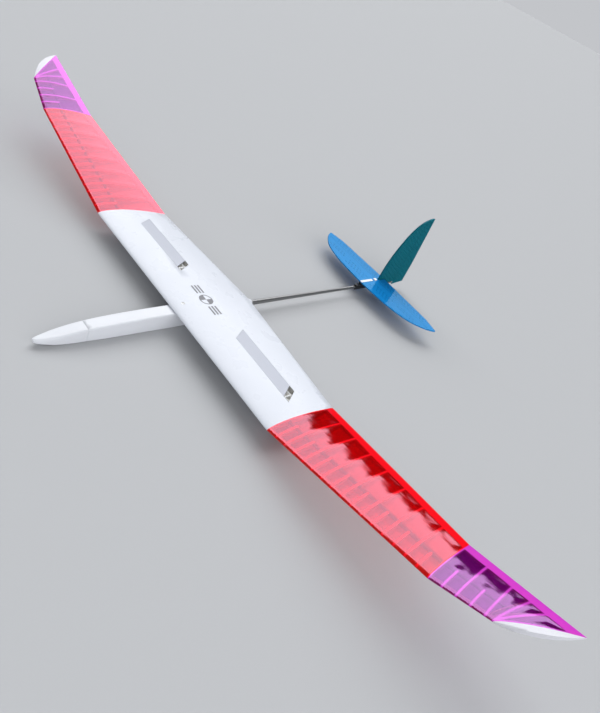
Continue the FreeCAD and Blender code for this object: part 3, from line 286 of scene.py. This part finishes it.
def moulded(name, dark, light, rough, grain=900, relief=0.05, coat=0.0, stretch=(1, 1, 1)):
    """Opaque plastic, wood or wire: two close tones, uneven gloss and a fine surface."""
    material, tree, shader, _ = new_material(name)
    tone = object_noise(tree, TONE_SCALE, 5, stretch)
    fine = object_noise(tree, grain, 3, stretch)
    tree.links.new(ramp(tree, tone, dark, light), shader.inputs["Base Color"])
    tree.links.new(span_value(tree, fine, rough * 0.8, rough * 1.2), shader.inputs["Roughness"])
    tree.links.new(bump(tree, fine, relief, GRAIN_DEPTH), shader.inputs["Normal"])
    shader.inputs["Coat Weight"].default_value = coat
    shader.inputs["Coat Roughness"].default_value = 0.08
    shader.inputs["Specular IOR Level"].default_value = 0.3
    return material


def facing_gloss(tree, square_on, normal):
    """Share of light a clear film throws back: square_on when faced, all of it when grazed."""
    facing = tree.nodes.new("ShaderNodeLayerWeight")
    facing.inputs["Blend"].default_value = 0.5
    tree.links.new(normal, facing.inputs["Normal"])
    power = tree.nodes.new("ShaderNodeMath")
    power.operation = "POWER"
    power.inputs[1].default_value = 5.0
    tree.links.new(facing.outputs["Facing"], power.inputs[0])
    share = tree.nodes.new("ShaderNodeMath")
    share.operation = "MULTIPLY_ADD"
    share.inputs[1].default_value = 1 - square_on
    share.inputs[2].default_value = square_on
    tree.links.new(power.outputs["Value"], share.inputs[0])
    return share.outputs["Value"]


def film(name, tint, free, bonded, gloss_tint, painted_glow=0.0, wrinkle=0.35):
    """Clear tinted covering, with free and bonded each a colour and the share of it that is solid.

    Between the ribs what is behind shows through; where the attribute "bond" is 1 the film is ironed
    on to wood and looks solid, and a glow strength above 0 makes it give off a faint painted glow
    that brightens the ribs. Wrinkles break the gloss.
    """
    material, tree, shader, output = new_material(name)
    bond = tree.nodes.new("ShaderNodeAttribute")
    bond.attribute_name = "bond"
    ripples = object_noise(tree, RIPPLE_SCALE, 4, RIPPLE_STRETCH)
    fine = object_noise(tree, FILM_FINE_SCALE, 2)
    normal = bump(tree, ripples, wrinkle, RIPPLE_DEPTH)
    tree.links.new(ramp(tree, bond.outputs["Fac"], free[0], bonded[0]), shader.inputs["Base Color"])
    tree.links.new(span_value(tree, fine, 0.3, 0.45), shader.inputs["Roughness"])
    shader.inputs["Specular IOR Level"].default_value = 0.0
    # painted light: the film over the wood glows faintly, to brighten the ribs
    if painted_glow:
        tree.links.new(ramp(tree, bond.outputs["Fac"], (0, 0, 0), bonded[0]),
                       shader.inputs["Emission Color"])
        shader.inputs["Emission Strength"].default_value = painted_glow
    solid = tree.nodes.new("ShaderNodeMath")
    solid.operation = "MULTIPLY_ADD"
    solid.inputs[1].default_value = bonded[1] - free[1]
    solid.inputs[2].default_value = free[1]
    tree.links.new(bond.outputs["Fac"], solid.inputs[0])
    clear = tree.nodes.new("ShaderNodeBsdfTransparent")
    clear.inputs["Color"].default_value = (*tint, 1)
    layer = tree.nodes.new("ShaderNodeMixShader")
    tree.links.new(solid.outputs["Value"], layer.inputs["Fac"])
    tree.links.new(clear.outputs["BSDF"], layer.inputs[1])
    tree.links.new(shader.outputs["BSDF"], layer.inputs[2])
    gloss = tree.nodes.new("ShaderNodeBsdfGlossy")
    gloss.inputs["Color"].default_value = (*gloss_tint, 1)
    tree.links.new(span_value(tree, fine, 0.04, 0.07), gloss.inputs["Roughness"])
    tree.links.new(normal, gloss.inputs["Normal"])
    top = tree.nodes.new("ShaderNodeMixShader")
    tree.links.new(facing_gloss(tree, FILM_GLOSS, normal), top.inputs["Fac"])
    tree.links.new(layer.outputs["Shader"], top.inputs[1])
    tree.links.new(gloss.outputs["BSDF"], top.inputs[2])
    tree.links.new(top.outputs["Shader"], output.inputs["Surface"])
    return material


def carbon(name):
    """Wound carbon tube: fine diagonal tow under a clear gloss."""
    material, tree, shader, _ = new_material(name)
    place = tree.nodes.new("ShaderNodeTexCoord")
    wave = tree.nodes.new("ShaderNodeTexWave")
    wave.bands_direction = "DIAGONAL"
    wave.inputs["Scale"].default_value = TOW_SCALE
    wave.inputs["Distortion"].default_value = 1.5
    tree.links.new(place.outputs["Object"], wave.inputs["Vector"])
    tree.links.new(ramp(tree, wave.outputs["Fac"], (0.02, 0.02, 0.022), (0.07, 0.072, 0.076)),
                   shader.inputs["Base Color"])
    tree.links.new(span_value(tree, wave.outputs["Fac"], 0.40, 0.5), shader.inputs["Roughness"])
    shader.inputs["Specular IOR Level"].default_value = 1.0
    tree.links.new(bump(tree, wave.outputs["Fac"], 0.08, TOW_DEPTH), shader.inputs["Normal"])
    shader.inputs["Coat Weight"].default_value = 1.0
    shader.inputs["Coat Roughness"].default_value = 0.3
    shader.inputs["Coat IOR"].default_value = 1.7
    return material


# The red and violet films carry a faint painted glow over the ribs, strength 0.05.
red_film = film("red_film", tint=(0.86, 0.16, 0.18), free=((0.75, 0.004, 0.008), 0.05),
                bonded=((0.95, 0.008, 0.02), 0.6), gloss_tint=(0.95, 0.62, 0.80), painted_glow=0.05)
violet_film = film("violet_film", tint=(0.62, 0.20, 0.60), free=((0.30, 0.004, 0.28), 0.05),
                   bonded=((0.90, 0.10, 0.85), 0.45), gloss_tint=(0.88, 0.60, 1.0), painted_glow=0.05)
# The fin and rudder are covered in the same blue film as the tail plane; their darker teal copy of it,
# with dimmer gloss, is painted shade for their upright faces, which get little light.
tail_blue, tail_blue_painted_shade = ((0.0, 0.42, 0.85), 0.06), ((0.0, 0.16, 0.22), 0.06)
blue_film = film("blue_film", tint=(0.12, 0.54, 0.88), free=tail_blue, bonded=tail_blue,
                 gloss_tint=(0.12, 0.20, 0.22), wrinkle=0.12)
teal_film = film("teal_film", tint=(0.09, 0.42, 0.48), free=tail_blue_painted_shade, bonded=tail_blue_painted_shade,
                 gloss_tint=(0.06, 0.12, 0.14), wrinkle=0.12)
white_film = moulded("white_film", (0.65, 0.675, 0.74), (0.67, 0.695, 0.76), 0.3,
                     grain=22, relief=0.02)
white_shell = moulded("white_shell", (0.68, 0.695, 0.74), (0.71, 0.725, 0.77), 0.34, relief=0.04)
cap_white = moulded("cap_white", (0.66, 0.66, 0.71), (0.70, 0.70, 0.75), 0.3,
                    grain=700, relief=0.04)
spoiler_grey = moulded("spoiler_grey", (0.44, 0.46, 0.53), (0.47, 0.49, 0.56), 0.36,
                       grain=500, relief=0.06)
tray_grey = moulded("tray_grey", (0.50, 0.49, 0.46), (0.56, 0.55, 0.52), 0.5,
                    grain=400, relief=0.1)
balsa = moulded("balsa", (0.62, 0.47, 0.28), (0.82, 0.68, 0.47), 0.65,
                grain=300, relief=0.3, stretch=(6, 0.5, 6))
plywood = moulded("plywood", (0.42, 0.29, 0.16), (0.60, 0.44, 0.27), 0.6,
                  grain=260, relief=0.3, stretch=(1, 5, 12))
core_foam = moulded("core_foam", (0.80, 0.84, 0.86), (0.88, 0.91, 0.92), 0.7,
                    grain=1500, relief=0.4)
black_plastic = moulded("black_plastic", (0.012, 0.013, 0.014), (0.022, 0.023, 0.025), 0.42,
                        grain=1400, relief=0.2)
white_plastic = moulded("white_plastic", (0.80, 0.82, 0.83), (0.86, 0.87, 0.88), 0.4,
                        grain=1200, relief=0.15)
wrap_blue = moulded("wrap_blue", (0.03, 0.07, 0.22), (0.05, 0.10, 0.28), 0.3,
                    grain=500, relief=0.1, coat=0.3)
lead_grey = moulded("lead_grey", (0.16, 0.16, 0.17), (0.25, 0.25, 0.27), 0.5,
                    grain=500, relief=0.4)
mark_grey = moulded("mark_grey", (0.14, 0.14, 0.16), (0.17, 0.17, 0.19), 0.35,
                    grain=500, relief=0.04)
wire = moulded("steel_wire", (0.42, 0.42, 0.44), (0.5, 0.5, 0.52), 0.3, grain=800, relief=0.1)
wire.node_tree.nodes["Principled BSDF"].inputs["Metallic"].default_value = 1.0
carbon_tube = carbon("carbon_tube")

# ---------------------------------------------------------------- wing film


def segment_distance(point, first, second):
    """Plan distance from a point to a straight line of wood."""
    ax, ay = second[0] - first[0], second[1] - first[1]
    px, py = point[0] - first[0], point[1] - first[1]
    along = max(0.0, min(1.0, (px * ax + py * ay) / (ax * ax + ay * ay)))
    return math.hypot(px - along * ax, py - along * ay)


def chordwise(panel, u, rear=1.0):
    """Plan line of a rib, from the nose to a share of the chord."""
    chord, sweep = panel.share(u, panel.chords), panel.share(u, panel.sweeps)
    return (u, sweep), (u, sweep + chord * rear)


NOSE_STEPS = 8
NOSE_SHARE = 0.28                  # section parameter where the even steps along the chord begin
CHORD_STEPS = 42
BOND_HALF = 1.7 * MM               # half the width that the film is ironed down on a rib
BOND_FADE = 1.6 * MM
RAKE_PASSES = 3                    # passes that settle a point on the raked tip joint
COLUMNS_A_BAY = 24                 # mesh columns between two ribs
TIP_COLUMNS = 108

upper_half = [NOSE_SHARE * step / NOSE_STEPS for step in range(1, NOSE_STEPS)]
upper_half += [math.sqrt(NOSE_SHARE ** 2 + (1 - NOSE_SHARE ** 2) * step / CHORD_STEPS)
               for step in range(CHORD_STEPS + 1)]
section = [-s for s in reversed(upper_half)] + [0.0] + upper_half


def wood_reach(panel, u, v, chord, lines):
    """Plan distance to the nearest wood under the film, and the same without the leading edge."""
    from_nose = v - panel.share(u, panel.sweeps) - LEADING_DEPTH
    from_tail = chord - TRAILING_WIDTH - LEADING_DEPTH - from_nose
    on_ribs = min(segment_distance((u, v), *line) for line in lines)
    return min(from_nose, from_tail, on_ribs), min(from_tail, on_ribs)


def sleeve(panel, lines, columns, raked=False, mirror=1):
    """Points, faces and bonds of the film round one panel, a closed skin with two sides."""
    verts, bonds = [], []
    count = len(section)
    rows = 2 * count
    for column in range(columns + 1):
        share = column / columns
        for inset in (0.0, FILM):
            for s in section if inset == 0.0 else reversed(section):
                u = share * panel.length
                for _ in range(RAKE_PASSES if raked else 1):
                    chord = panel.share(u, panel.chords)
                    y, z = inset_point(s, chord, inset)
                    v = panel.share(u, panel.sweeps) + y
                    if raked:
                        u = share * raked_end(v)
                reach, behind = wood_reach(panel, u, v, chord, lines)
                sag = FILM_SAG * (1 - math.exp(-(max(reach, 0.0) / SAG_REACH) ** 2))
                y, z = inset_point(s, chord, inset + sag)
                run = u + z * (panel.leans[0] * (1 - share) + panel.leans[1] * share)
                point = panel.place(run, panel.share(u, panel.sweeps) + y, z)
                verts.append(wing_place @ Vector((mirror * point.x, point.y, point.z)))
                bonds.append(1.0 - max(0.0, min(1.0, (behind - BOND_HALF) / BOND_FADE)))
    faces = grid_faces(columns + 1, rows, wrap=True)
    for base in (0, columns * rows):
        for step in range(count - 1):
            faces.append((base + step, base + step + 1,
                          base + rows - 2 - step, base + rows - 1 - step))
    return verts, faces, bonds


def wing_film(name, node, material, made):
    """The covering of one panel, in place of its CAD cover."""
    verts, faces, bonds = made
    mesh = bpy.data.meshes.new(name)
    mesh.from_pydata(verts, [], faces)
    mesh.attributes.new("bond", "FLOAT", "POINT").data.foreach_set("value", bonds)
    piece = settle(name, mesh, material, "airframe", node)
    piece.visible_shadow = False       # clear film: the light goes on to the ribs and the floor
    return piece


middle_pitch = MIDDLE_SPAN / MIDDLE_BAYS
middle_lines = [chordwise(middle, i * middle_pitch) for i in range(MIDDLE_BAYS + 1)]
middle_lines += [chordwise(middle, (i + 0.5) * middle_pitch, RIBLET_SHARE)
                 for i in range(MIDDLE_BAYS)]
fan_start, fan_end = rake_ends()
tip_lines = [chordwise(tip, TIP_PITCH * i) for i in range(TIP_RIBS)] + [(fan_start, fan_end)]
tip_lines += [chordwise(tip, TIP_PITCH * (i + 0.5), TIP_RIBLET_SHARE) for i in range(TIP_RIBS - 1)]
tip_lines += [(fan_start, chordwise(tip, TIP_PITCH * bays)[1]) for bays in FAN_FEET]

for word, mirror in (("left", 1), ("right", -1)):
    wing_film("middle_film_" + word, "middle_cover_" + word, red_film,
              sleeve(middle, middle_lines, MIDDLE_BAYS * COLUMNS_A_BAY, mirror=mirror))
    wing_film("tip_film_" + word, "tip_cover_" + word, violet_film,
              sleeve(tip, tip_lines, TIP_COLUMNS, raked=True, mirror=mirror))

# ---------------------------------------------------------------- finishes of the CAD nodes

FINISHES = (
    (balsa, "centre_ribs centre_leading_edge centre_trailing_edge middle_ribs tip_ribs "
            "middle_leading_edges middle_trailing_edges tip_leading_edges tip_trailing_edges "
            "root_blocks"),
    (tray_grey, "spoiler_tray_left spoiler_tray_right"),
    (plywood, "servo_tray equipment_tray wing_nut_plate"),
    (carbon_tube, "centre_spar middle_spars tip_spars"),
    (wire, "inner_joiners tip_joiners elevator_pushrod rudder_pushrod locating_pin"),
    (black_plastic, "stab_mount elevator_horn rudder_horn elevator_servo rudder_servo "
                    "spoiler_servo_left spoiler_servo_right receiver"),
    (white_plastic, "stab_strap fin_clip boom_end_plug stab_screws wing_bolt elevator_servo_arm "
                    "rudder_servo_arm spoiler_lever_left spoiler_lever_right tow_hook_block"),
    (spoiler_grey, "spoiler_left spoiler_right"),
    (blue_film, "stabilizer elevator"),
    # fin and rudder: the blue film darkened with painted shade
    (teal_film, "fin rudder"),
    (wrap_blue, "battery"),
    (lead_grey, "nose_ballast"),
)
for material, names in FINISHES:
    for node_name in names.split():
        finish_node(node_name, material)

smooth_copy("nose_cone", white_shell, "nose_cone")
smooth_copy("pod_shell", white_shell, "airframe")
smooth_copy("centre_cover", white_film, "airframe")
smooth_copy("tail_boom", carbon_tube, "airframe")
for word in ("left", "right"):
    smooth_copy("tip_cap_" + word, cap_white, "airframe")

# ---------------------------------------------------------------- perforated cores of the tail

CORE_INSET = 0.35 * MM             # the core lies this far inside the film
SLOT_LENGTH = 9 * MM
SLOT_WIDTH = 4.4 * MM
SLOT_DEPTH = 12 * MM               # more than the plates' thickness
SLOT_SIDES = 8
SLOT_PITCH = 13.5 * MM
FIN_ROW = 10.5 * MM                # distance between the fin's rows of slots
FIN_FIRST_ROW = 0.9                # place of the first row, in rows
FIN_FOOT = 4 * MM                  # the fin's slots start this far above its foot
STAB_MARGIN = 6 * MM               # solid edge kept round a slot's middle
ELEVATOR_MARGIN = 5 * MM
FIN_MARGIN = 4.5 * MM


def slot_tree():
    """Geometry nodes: one long cutter on every point of the mesh, all turned alike."""
    tree = bpy.data.node_groups.new("lightening_slots", "GeometryNodeTree")
    for label, kind, value in (("Geometry", "NodeSocketGeometry", None),
                               ("Length", "NodeSocketFloat", 1.0),
                               ("Width", "NodeSocketFloat", 1.0),
                               ("Depth", "NodeSocketFloat", 1.0),
                               ("Turn", "NodeSocketVector", None),
                               ("Material", "NodeSocketMaterial", None)):
        socket = tree.interface.new_socket(label, in_out="INPUT", socket_type=kind)
        if value is not None:
            socket.default_value = value
    tree.interface.new_socket("Geometry", in_out="OUTPUT", socket_type="NodeSocketGeometry")
    inward, outward = tree.nodes.new("NodeGroupInput"), tree.nodes.new("NodeGroupOutput")
    cutter = tree.nodes.new("GeometryNodeMeshCylinder")
    cutter.inputs["Vertices"].default_value = SLOT_SIDES
    cutter.inputs["Radius"].default_value = 0.5
    cutter.inputs["Depth"].default_value = 1.0
    size = tree.nodes.new("ShaderNodeCombineXYZ")
    points = tree.nodes.new("GeometryNodeInstanceOnPoints")
    realize = tree.nodes.new("GeometryNodeRealizeInstances")
    finish = tree.nodes.new("GeometryNodeSetMaterial")
    for label, axis in (("Length", "X"), ("Width", "Y"), ("Depth", "Z")):
        tree.links.new(inward.outputs[label], size.inputs[axis])
    turn = tree.nodes.new("FunctionNodeEulerToRotation")
    tree.links.new(inward.outputs["Turn"], turn.inputs["Euler"])
    tree.links.new(inward.outputs["Geometry"], points.inputs["Points"])
    tree.links.new(cutter.outputs["Mesh"], points.inputs["Instance"])
    tree.links.new(turn.outputs["Rotation"], points.inputs["Rotation"])
    tree.links.new(size.outputs["Vector"], points.inputs["Scale"])
    tree.links.new(points.outputs["Instances"], realize.inputs["Geometry"])
    tree.links.new(realize.outputs["Geometry"], finish.inputs["Geometry"])
    tree.links.new(inward.outputs["Material"], finish.inputs["Material"])
    tree.links.new(finish.outputs["Geometry"], outward.inputs["Geometry"])
    return tree


slots = slot_tree()


def plain_mesh(obj):
    """The object's mesh with its modifiers worked in."""
    depsgraph = bpy.context.evaluated_depsgraph_get()
    return bpy.data.meshes.new_from_object(obj.evaluated_get(depsgraph))


def cutters(points, turn):
    """A plain object of slot cutters at the points."""
    mesh = bpy.data.meshes.new("slot_points")
    mesh.from_pydata(points, [], [])
    holder = bpy.data.objects.new("slot_points", mesh)
    bpy.context.scene.collection.objects.link(holder)
    modifier = holder.modifiers.new("slots", "NODES")
    modifier.node_group = slots
    inputs = {item.name: item.identifier for item in slots.interface.items_tree
              if item.in_out == "INPUT"}
    for label, value in (("Length", SLOT_LENGTH), ("Width", SLOT_WIDTH), ("Depth", SLOT_DEPTH),
                         ("Turn", turn), ("Material", core_foam)):
        modifier[inputs[label]] = value
    made = plain_mesh(holder)
    bpy.data.objects.remove(holder)
    cutter = bpy.data.objects.new("slot_cutter", made)
    bpy.context.scene.collection.objects.link(cutter)
    return cutter


def perforated_core(node, body, points, turn):
    """The plate inside the film: the CAD node's shape, drawn in a little and pierced by slots."""
    mesh = copy_mesh(node, node + "_core")
    bm = bmesh.new()
    bm.from_mesh(mesh)
    bmesh.ops.dissolve_limit(bm, angle_limit=math.radians(1), verts=bm.verts, edges=bm.edges)
    bm.normal_update()
    moves = [(vert, vert.co - vert.normal * CORE_INSET) for vert in bm.verts]
    for vert, place in moves:
        vert.co = place
    bmesh.ops.triangulate(bm, faces=bm.faces)
    bm.to_mesh(mesh)
    bm.free()
    plate = bpy.data.objects.new(node + "_plate", mesh)
    bpy.context.scene.collection.objects.link(plate)
    cutter = cutters(points, turn)
    cut = plate.modifiers.new("slots", "BOOLEAN")
    cut.operation = "DIFFERENCE"
    cut.solver = "EXACT"
    cut.object = cutter
    made = plain_mesh(plate)
    for spare in (plate, cutter):
        bpy.data.objects.remove(spare)
    return settle(node + "_core", made, core_foam, body, smooth=False)


def on_plate(node, points, margin, through):
    """Keeps the points that have plate all round them, a margin wide, seen along an axis."""
    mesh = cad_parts[node].data
    tree = BVHTree.FromPolygons([vert.co.copy() for vert in mesh.vertices],
                                [tuple(face.vertices) for face in mesh.polygons])
    across = [Vector(axis) for axis in ((1, 0, 0), (0, 1, 0), (0, 0, 1))
              if through.dot(Vector(axis)) == 0]
    around = [(across[0] * math.cos(turn) + across[1] * math.sin(turn)) * margin
              for turn in (math.tau * step / 12 for step in range(12))]
    return [point for point in points
            if all(tree.ray_cast(point + shift + through, -through)[0] for shift in around)]


def staggered(rows, start, stop, pitch):
    """Pairs (along, row), each second row shifted by half a pitch."""
    pairs = []
    for number, row in enumerate(rows):
        along = start + pitch * (number % 2) / 2
        while along <= stop:
            pairs.append((along, row))
            along += pitch
    return pairs


plate_low, plate_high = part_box("stabilizer")
plate_z = (plate_low.z + plate_high.z) / 2
hinge_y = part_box("elevator")[0].y
UP, ALONG_SPAN = Vector((0, 0, 1)), Vector((1, 0, 0))


def stab_rows(distances, start, stop):
    """Staggered slots in rows at distances aft of the elevator's hinge, all in mm."""
    rows = [hinge_y + distance * MM for distance in distances]
    return staggered(rows, start * MM, stop * MM, SLOT_PITCH)


front_pairs = stab_rows((-50, -39, -28), 22, 105) + stab_rows((-33, -22), 132, 205)
rear_pairs = stab_rows((11.5, 22), 18, 215)
for node, body, pairs, margin in (("stabilizer", "airframe", front_pairs, STAB_MARGIN),
                                  ("elevator", "elevator", rear_pairs, ELEVATOR_MARGIN)):
    points = [Vector((side * x, y, plate_z)) for x, y in pairs for side in (-1, 1)]
    perforated_core(node, body, on_plate(node, points, margin, UP), (0, 0, 0))
for node, body in (("fin", "airframe"), ("rudder", "rudder")):
    low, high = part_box(node)
    rows = [low.y + FIN_ROW * (step + FIN_FIRST_ROW)
            for step in range(int((high.y - low.y) / FIN_ROW))]
    points = [Vector((0, y, z))
              for z, y in staggered(rows, low.z + FIN_FOOT, high.z, SLOT_PITCH)]
    perforated_core(node, body, on_plate(node, points, FIN_MARGIN, ALONG_SPAN),
                    (0, math.pi / 2, 0))

# ---------------------------------------------------------------- mark on the centre panel

MARK_STATION = 92 * MM             # the balance point, aft of the leading edge
MARK_RADIUS = 18 * MM
MARK_RING = 2.6 * MM
MARK_HOLE = 0.4 * MM               # keeps the quadrants' inner corners apart
MARK_LIFT = 0.05 * MM
MARK_THICK = 0.12 * MM
BAR_WIDTH = 4.6 * MM
BAR_PITCH = 9.0 * MM
BAR_LENGTH = 30 * MM
BAR_START = 25 * MM
ARC_STEPS, FAN_RINGS, BAR_STEPS = 12, 4, 8


def on_centre(x, v, lift):
    """Point above the centre panel's upper surface, lift clear of it."""
    chord = centre.share(abs(x), centre.chords)
    s = math.sqrt(max(v, 0.0) / chord)
    y, z = inset_point(s, chord, -lift)
    return wing_place @ Vector((x, y, z))


def decal(name, patches):
    """Thin closed patches that follow the wing; each patch is a grid of plan points (x, station)."""
    verts, faces = [], []
    for patch in patches:
        columns, rows, base = len(patch), len(patch[0]), len(verts)
        for lift in (MARK_LIFT, MARK_LIFT + MARK_THICK):
            verts += [on_centre(x, v, lift) for column in patch for x, v in column]
        layer = columns * rows
        for face in grid_faces(columns, rows):
            faces.append([base + corner for corner in face])
            faces.append([base + layer + corner for corner in reversed(face)])
        rim = [c * rows for c in range(columns)]
        rim += [(columns - 1) * rows + r for r in range(1, rows)]
        rim += [c * rows + rows - 1 for c in range(columns - 2, -1, -1)]
        rim += range(rows - 2, 0, -1)
        for first, second in zip(rim, rim[1:] + rim[:1]):
            faces.append([base + first, base + second,
                          base + layer + second, base + layer + first])
    return make_piece(name, verts, faces, mark_grey, "airframe", smooth=False)


def sector(inner, outer, start, stop, steps, rings):
    """Grid of plan points between two radii and two angles in degrees."""
    grid = []
    for step in range(steps + 1):
        turn = math.radians(start + (stop - start) * step / steps)
        radii = [inner + (outer - inner) * ring / rings for ring in range(rings + 1)]
        grid.append([(math.cos(turn) * radius, MARK_STATION + math.sin(turn) * radius)
                     for radius in radii])
    return grid


def bar(side, row):
    """One straight bar beside the disc."""
    middle = MARK_STATION + row * BAR_PITCH
    return [[(side * (BAR_START + BAR_LENGTH * step / BAR_STEPS), middle + edge * BAR_WIDTH / 2)
             for edge in (-1, 0, 1)] for step in range(BAR_STEPS + 1)]


ring_start = MARK_RADIUS - MARK_RING
patches = [sector(ring_start, MARK_RADIUS, turn, turn + 90, ARC_STEPS, 1)
           for turn in (0, 90, 180, 270)]
patches += [sector(MARK_HOLE, ring_start, turn, turn + 90, ARC_STEPS, FAN_RINGS)
            for turn in (0, 180)]
patches += [bar(side, row) for side in (-1, 1) for row in (-1, 0, 1)]
decal("balance_mark", patches)

# ---------------------------------------------------------------- floor, lights and camera


def direction(azimuth, elevation):
    """Unit vector; azimuth 0 looks along +Y and turns towards +X."""
    a, e = math.radians(azimuth), math.radians(elevation)
    return Vector((math.sin(a) * math.cos(e), math.cos(a) * math.cos(e), math.sin(e)))


studio = bpy.data.worlds.new("studio")
studio.use_nodes = True
studio_tree = studio.node_tree
bpy.context.scene.world = studio


def node_value(tree, operation, *inputs):
    """A sum worked out by one node, from sockets or plain numbers."""
    node = tree.nodes.new("ShaderNodeMath")
    node.operation = operation
    for number, value in enumerate(inputs):
        if hasattr(value, "links"):
            tree.links.new(value, node.inputs[number])
        else:
            node.inputs[number].default_value = value
    return node.outputs["Value"]


def within(value, low, high, edge):
    """1 between low and high, fading to 0 over an edge each side."""
    sides = []
    for first, last in ((low - edge, low + edge), (high + edge, high - edge)):
        node = studio_tree.nodes.new("ShaderNodeMapRange")
        node.interpolation_type = "SMOOTHSTEP"
        node.inputs["From Min"].default_value = first
        node.inputs["From Max"].default_value = last
        studio_tree.links.new(value, node.inputs["Value"])
        sides.append(node.outputs["Result"])
    return node_value(studio_tree, "MULTIPLY", *sides)


def soft_boxes(boxes, rest):
    """Brightness all round; a box is (azimuths, elevations, edge, radiance), angles in degrees."""
    place = studio_tree.nodes.new("ShaderNodeTexCoord")
    split = studio_tree.nodes.new("ShaderNodeSeparateXYZ")
    studio_tree.links.new(place.outputs["Generated"], split.inputs["Vector"])
    azimuth = node_value(studio_tree, "ARCTAN2", split.outputs["X"], split.outputs["Y"])
    elevation = node_value(studio_tree, "ARCSINE", split.outputs["Z"])
    total = rest
    for azimuths, elevations, edge, radiance in boxes:
        box = node_value(studio_tree, "MULTIPLY",
                         within(azimuth, *map(math.radians, azimuths), math.radians(edge)),
                         within(elevation, *map(math.radians, elevations), math.radians(edge)))
        lit = node_value(studio_tree, "MULTIPLY", box, radiance)
        total = node_value(studio_tree, "ADD", total, lit)
    return total


KEY_BOX = ((-98, -10), (23, 66), 1.5, 3.9)      # large soft box behind the aircraft's right wing
FILL_BOX = ((50, 160), (-2, 50), 8, 1.6)        # weaker, wider one on its left
DARK_ROOM = 0.008                  # what reflections show between the boxes
BACKDROP = (0.546, 0.558, 0.584, 1)
DAYLIGHT = (0.97, 0.985, 1.0, 1)
AMBIENT = 0.27                     # soft light from all round, which reflections don't show
backdrop = studio_tree.nodes.new("ShaderNodeBackground")
backdrop.inputs["Color"].default_value = BACKDROP
lights = studio_tree.nodes["Background"]
lights.inputs["Color"].default_value = DAYLIGHT
seen = studio_tree.nodes.new("ShaderNodeLightPath")
unmirrored = node_value(studio_tree, "MULTIPLY_ADD", seen.outputs["Is Glossy Ray"], -AMBIENT, AMBIENT)
boxes_seen = soft_boxes((KEY_BOX, FILL_BOX), DARK_ROOM)
strength = node_value(studio_tree, "ADD", boxes_seen, unmirrored)
studio_tree.links.new(strength, lights.inputs["Strength"])
mixed = studio_tree.nodes.new("ShaderNodeMixShader")
studio_tree.links.new(seen.outputs["Is Camera Ray"], mixed.inputs["Fac"])
studio_tree.links.new(lights.outputs["Background"], mixed.inputs[1])
studio_tree.links.new(backdrop.outputs["Background"], mixed.inputs[2])
studio_tree.links.new(mixed.outputs["Shader"], studio_tree.nodes["World Output"].inputs["Surface"])

FLOOR_HALF = 90.0
FLOOR_DROP = 0.5 * MM              # the floor lies this far under the belly
floor_mesh = bpy.data.meshes.new("floor")
corners = [(x * FLOOR_HALF, y * FLOOR_HALF, -FLOOR_DROP)
           for x, y in ((-1, -1), (1, -1), (1, 1), (-1, 1))]
floor_mesh.from_pydata(corners, [], [(0, 1, 2, 3)])
floor = bpy.data.objects.new("floor", floor_mesh)
bpy.context.scene.collection.objects.link(floor)
floor_mesh.materials.append(moulded("pale_floor", (0.455, 0.461, 0.475), (0.459, 0.465, 0.479), 0.9,
                                    grain=400, relief=0.02))

CAMERA_PLACE = Vector((0.8278, -1.0364, 0.8599))
CAMERA_AZIMUTH, CAMERA_ELEVATION, CAMERA_ROLL = -32.16, 35.66, 28.59      # degrees
SENSOR_WIDTH, LENS = 36.0, 29.32   # both in mm
FARTHEST_SEEN = 400.0              # m; the floor's far edge is nearer
camera_data = bpy.data.cameras.new("camera")
camera_data.sensor_width = SENSOR_WIDTH
camera_data.lens = LENS
camera_data.clip_end = FARTHEST_SEEN
camera = bpy.data.objects.new("camera", camera_data)
looking = direction(CAMERA_AZIMUTH, -CAMERA_ELEVATION)
across = looking.cross(Vector((0, 0, 1))).normalized()
upright = across.cross(looking)
roll = math.radians(CAMERA_ROLL)
camera_x = across * math.cos(roll) + upright * math.sin(roll)
camera_y = -across * math.sin(roll) + upright * math.cos(roll)
turned = Matrix((camera_x, camera_y, -looking)).transposed().to_4x4()
camera.matrix_world = Matrix.Translation(CAMERA_PLACE) @ turned
bpy.context.scene.collection.objects.link(camera)
bpy.context.scene.camera = camera
bpy.context.scene.view_settings.view_transform = "Standard"
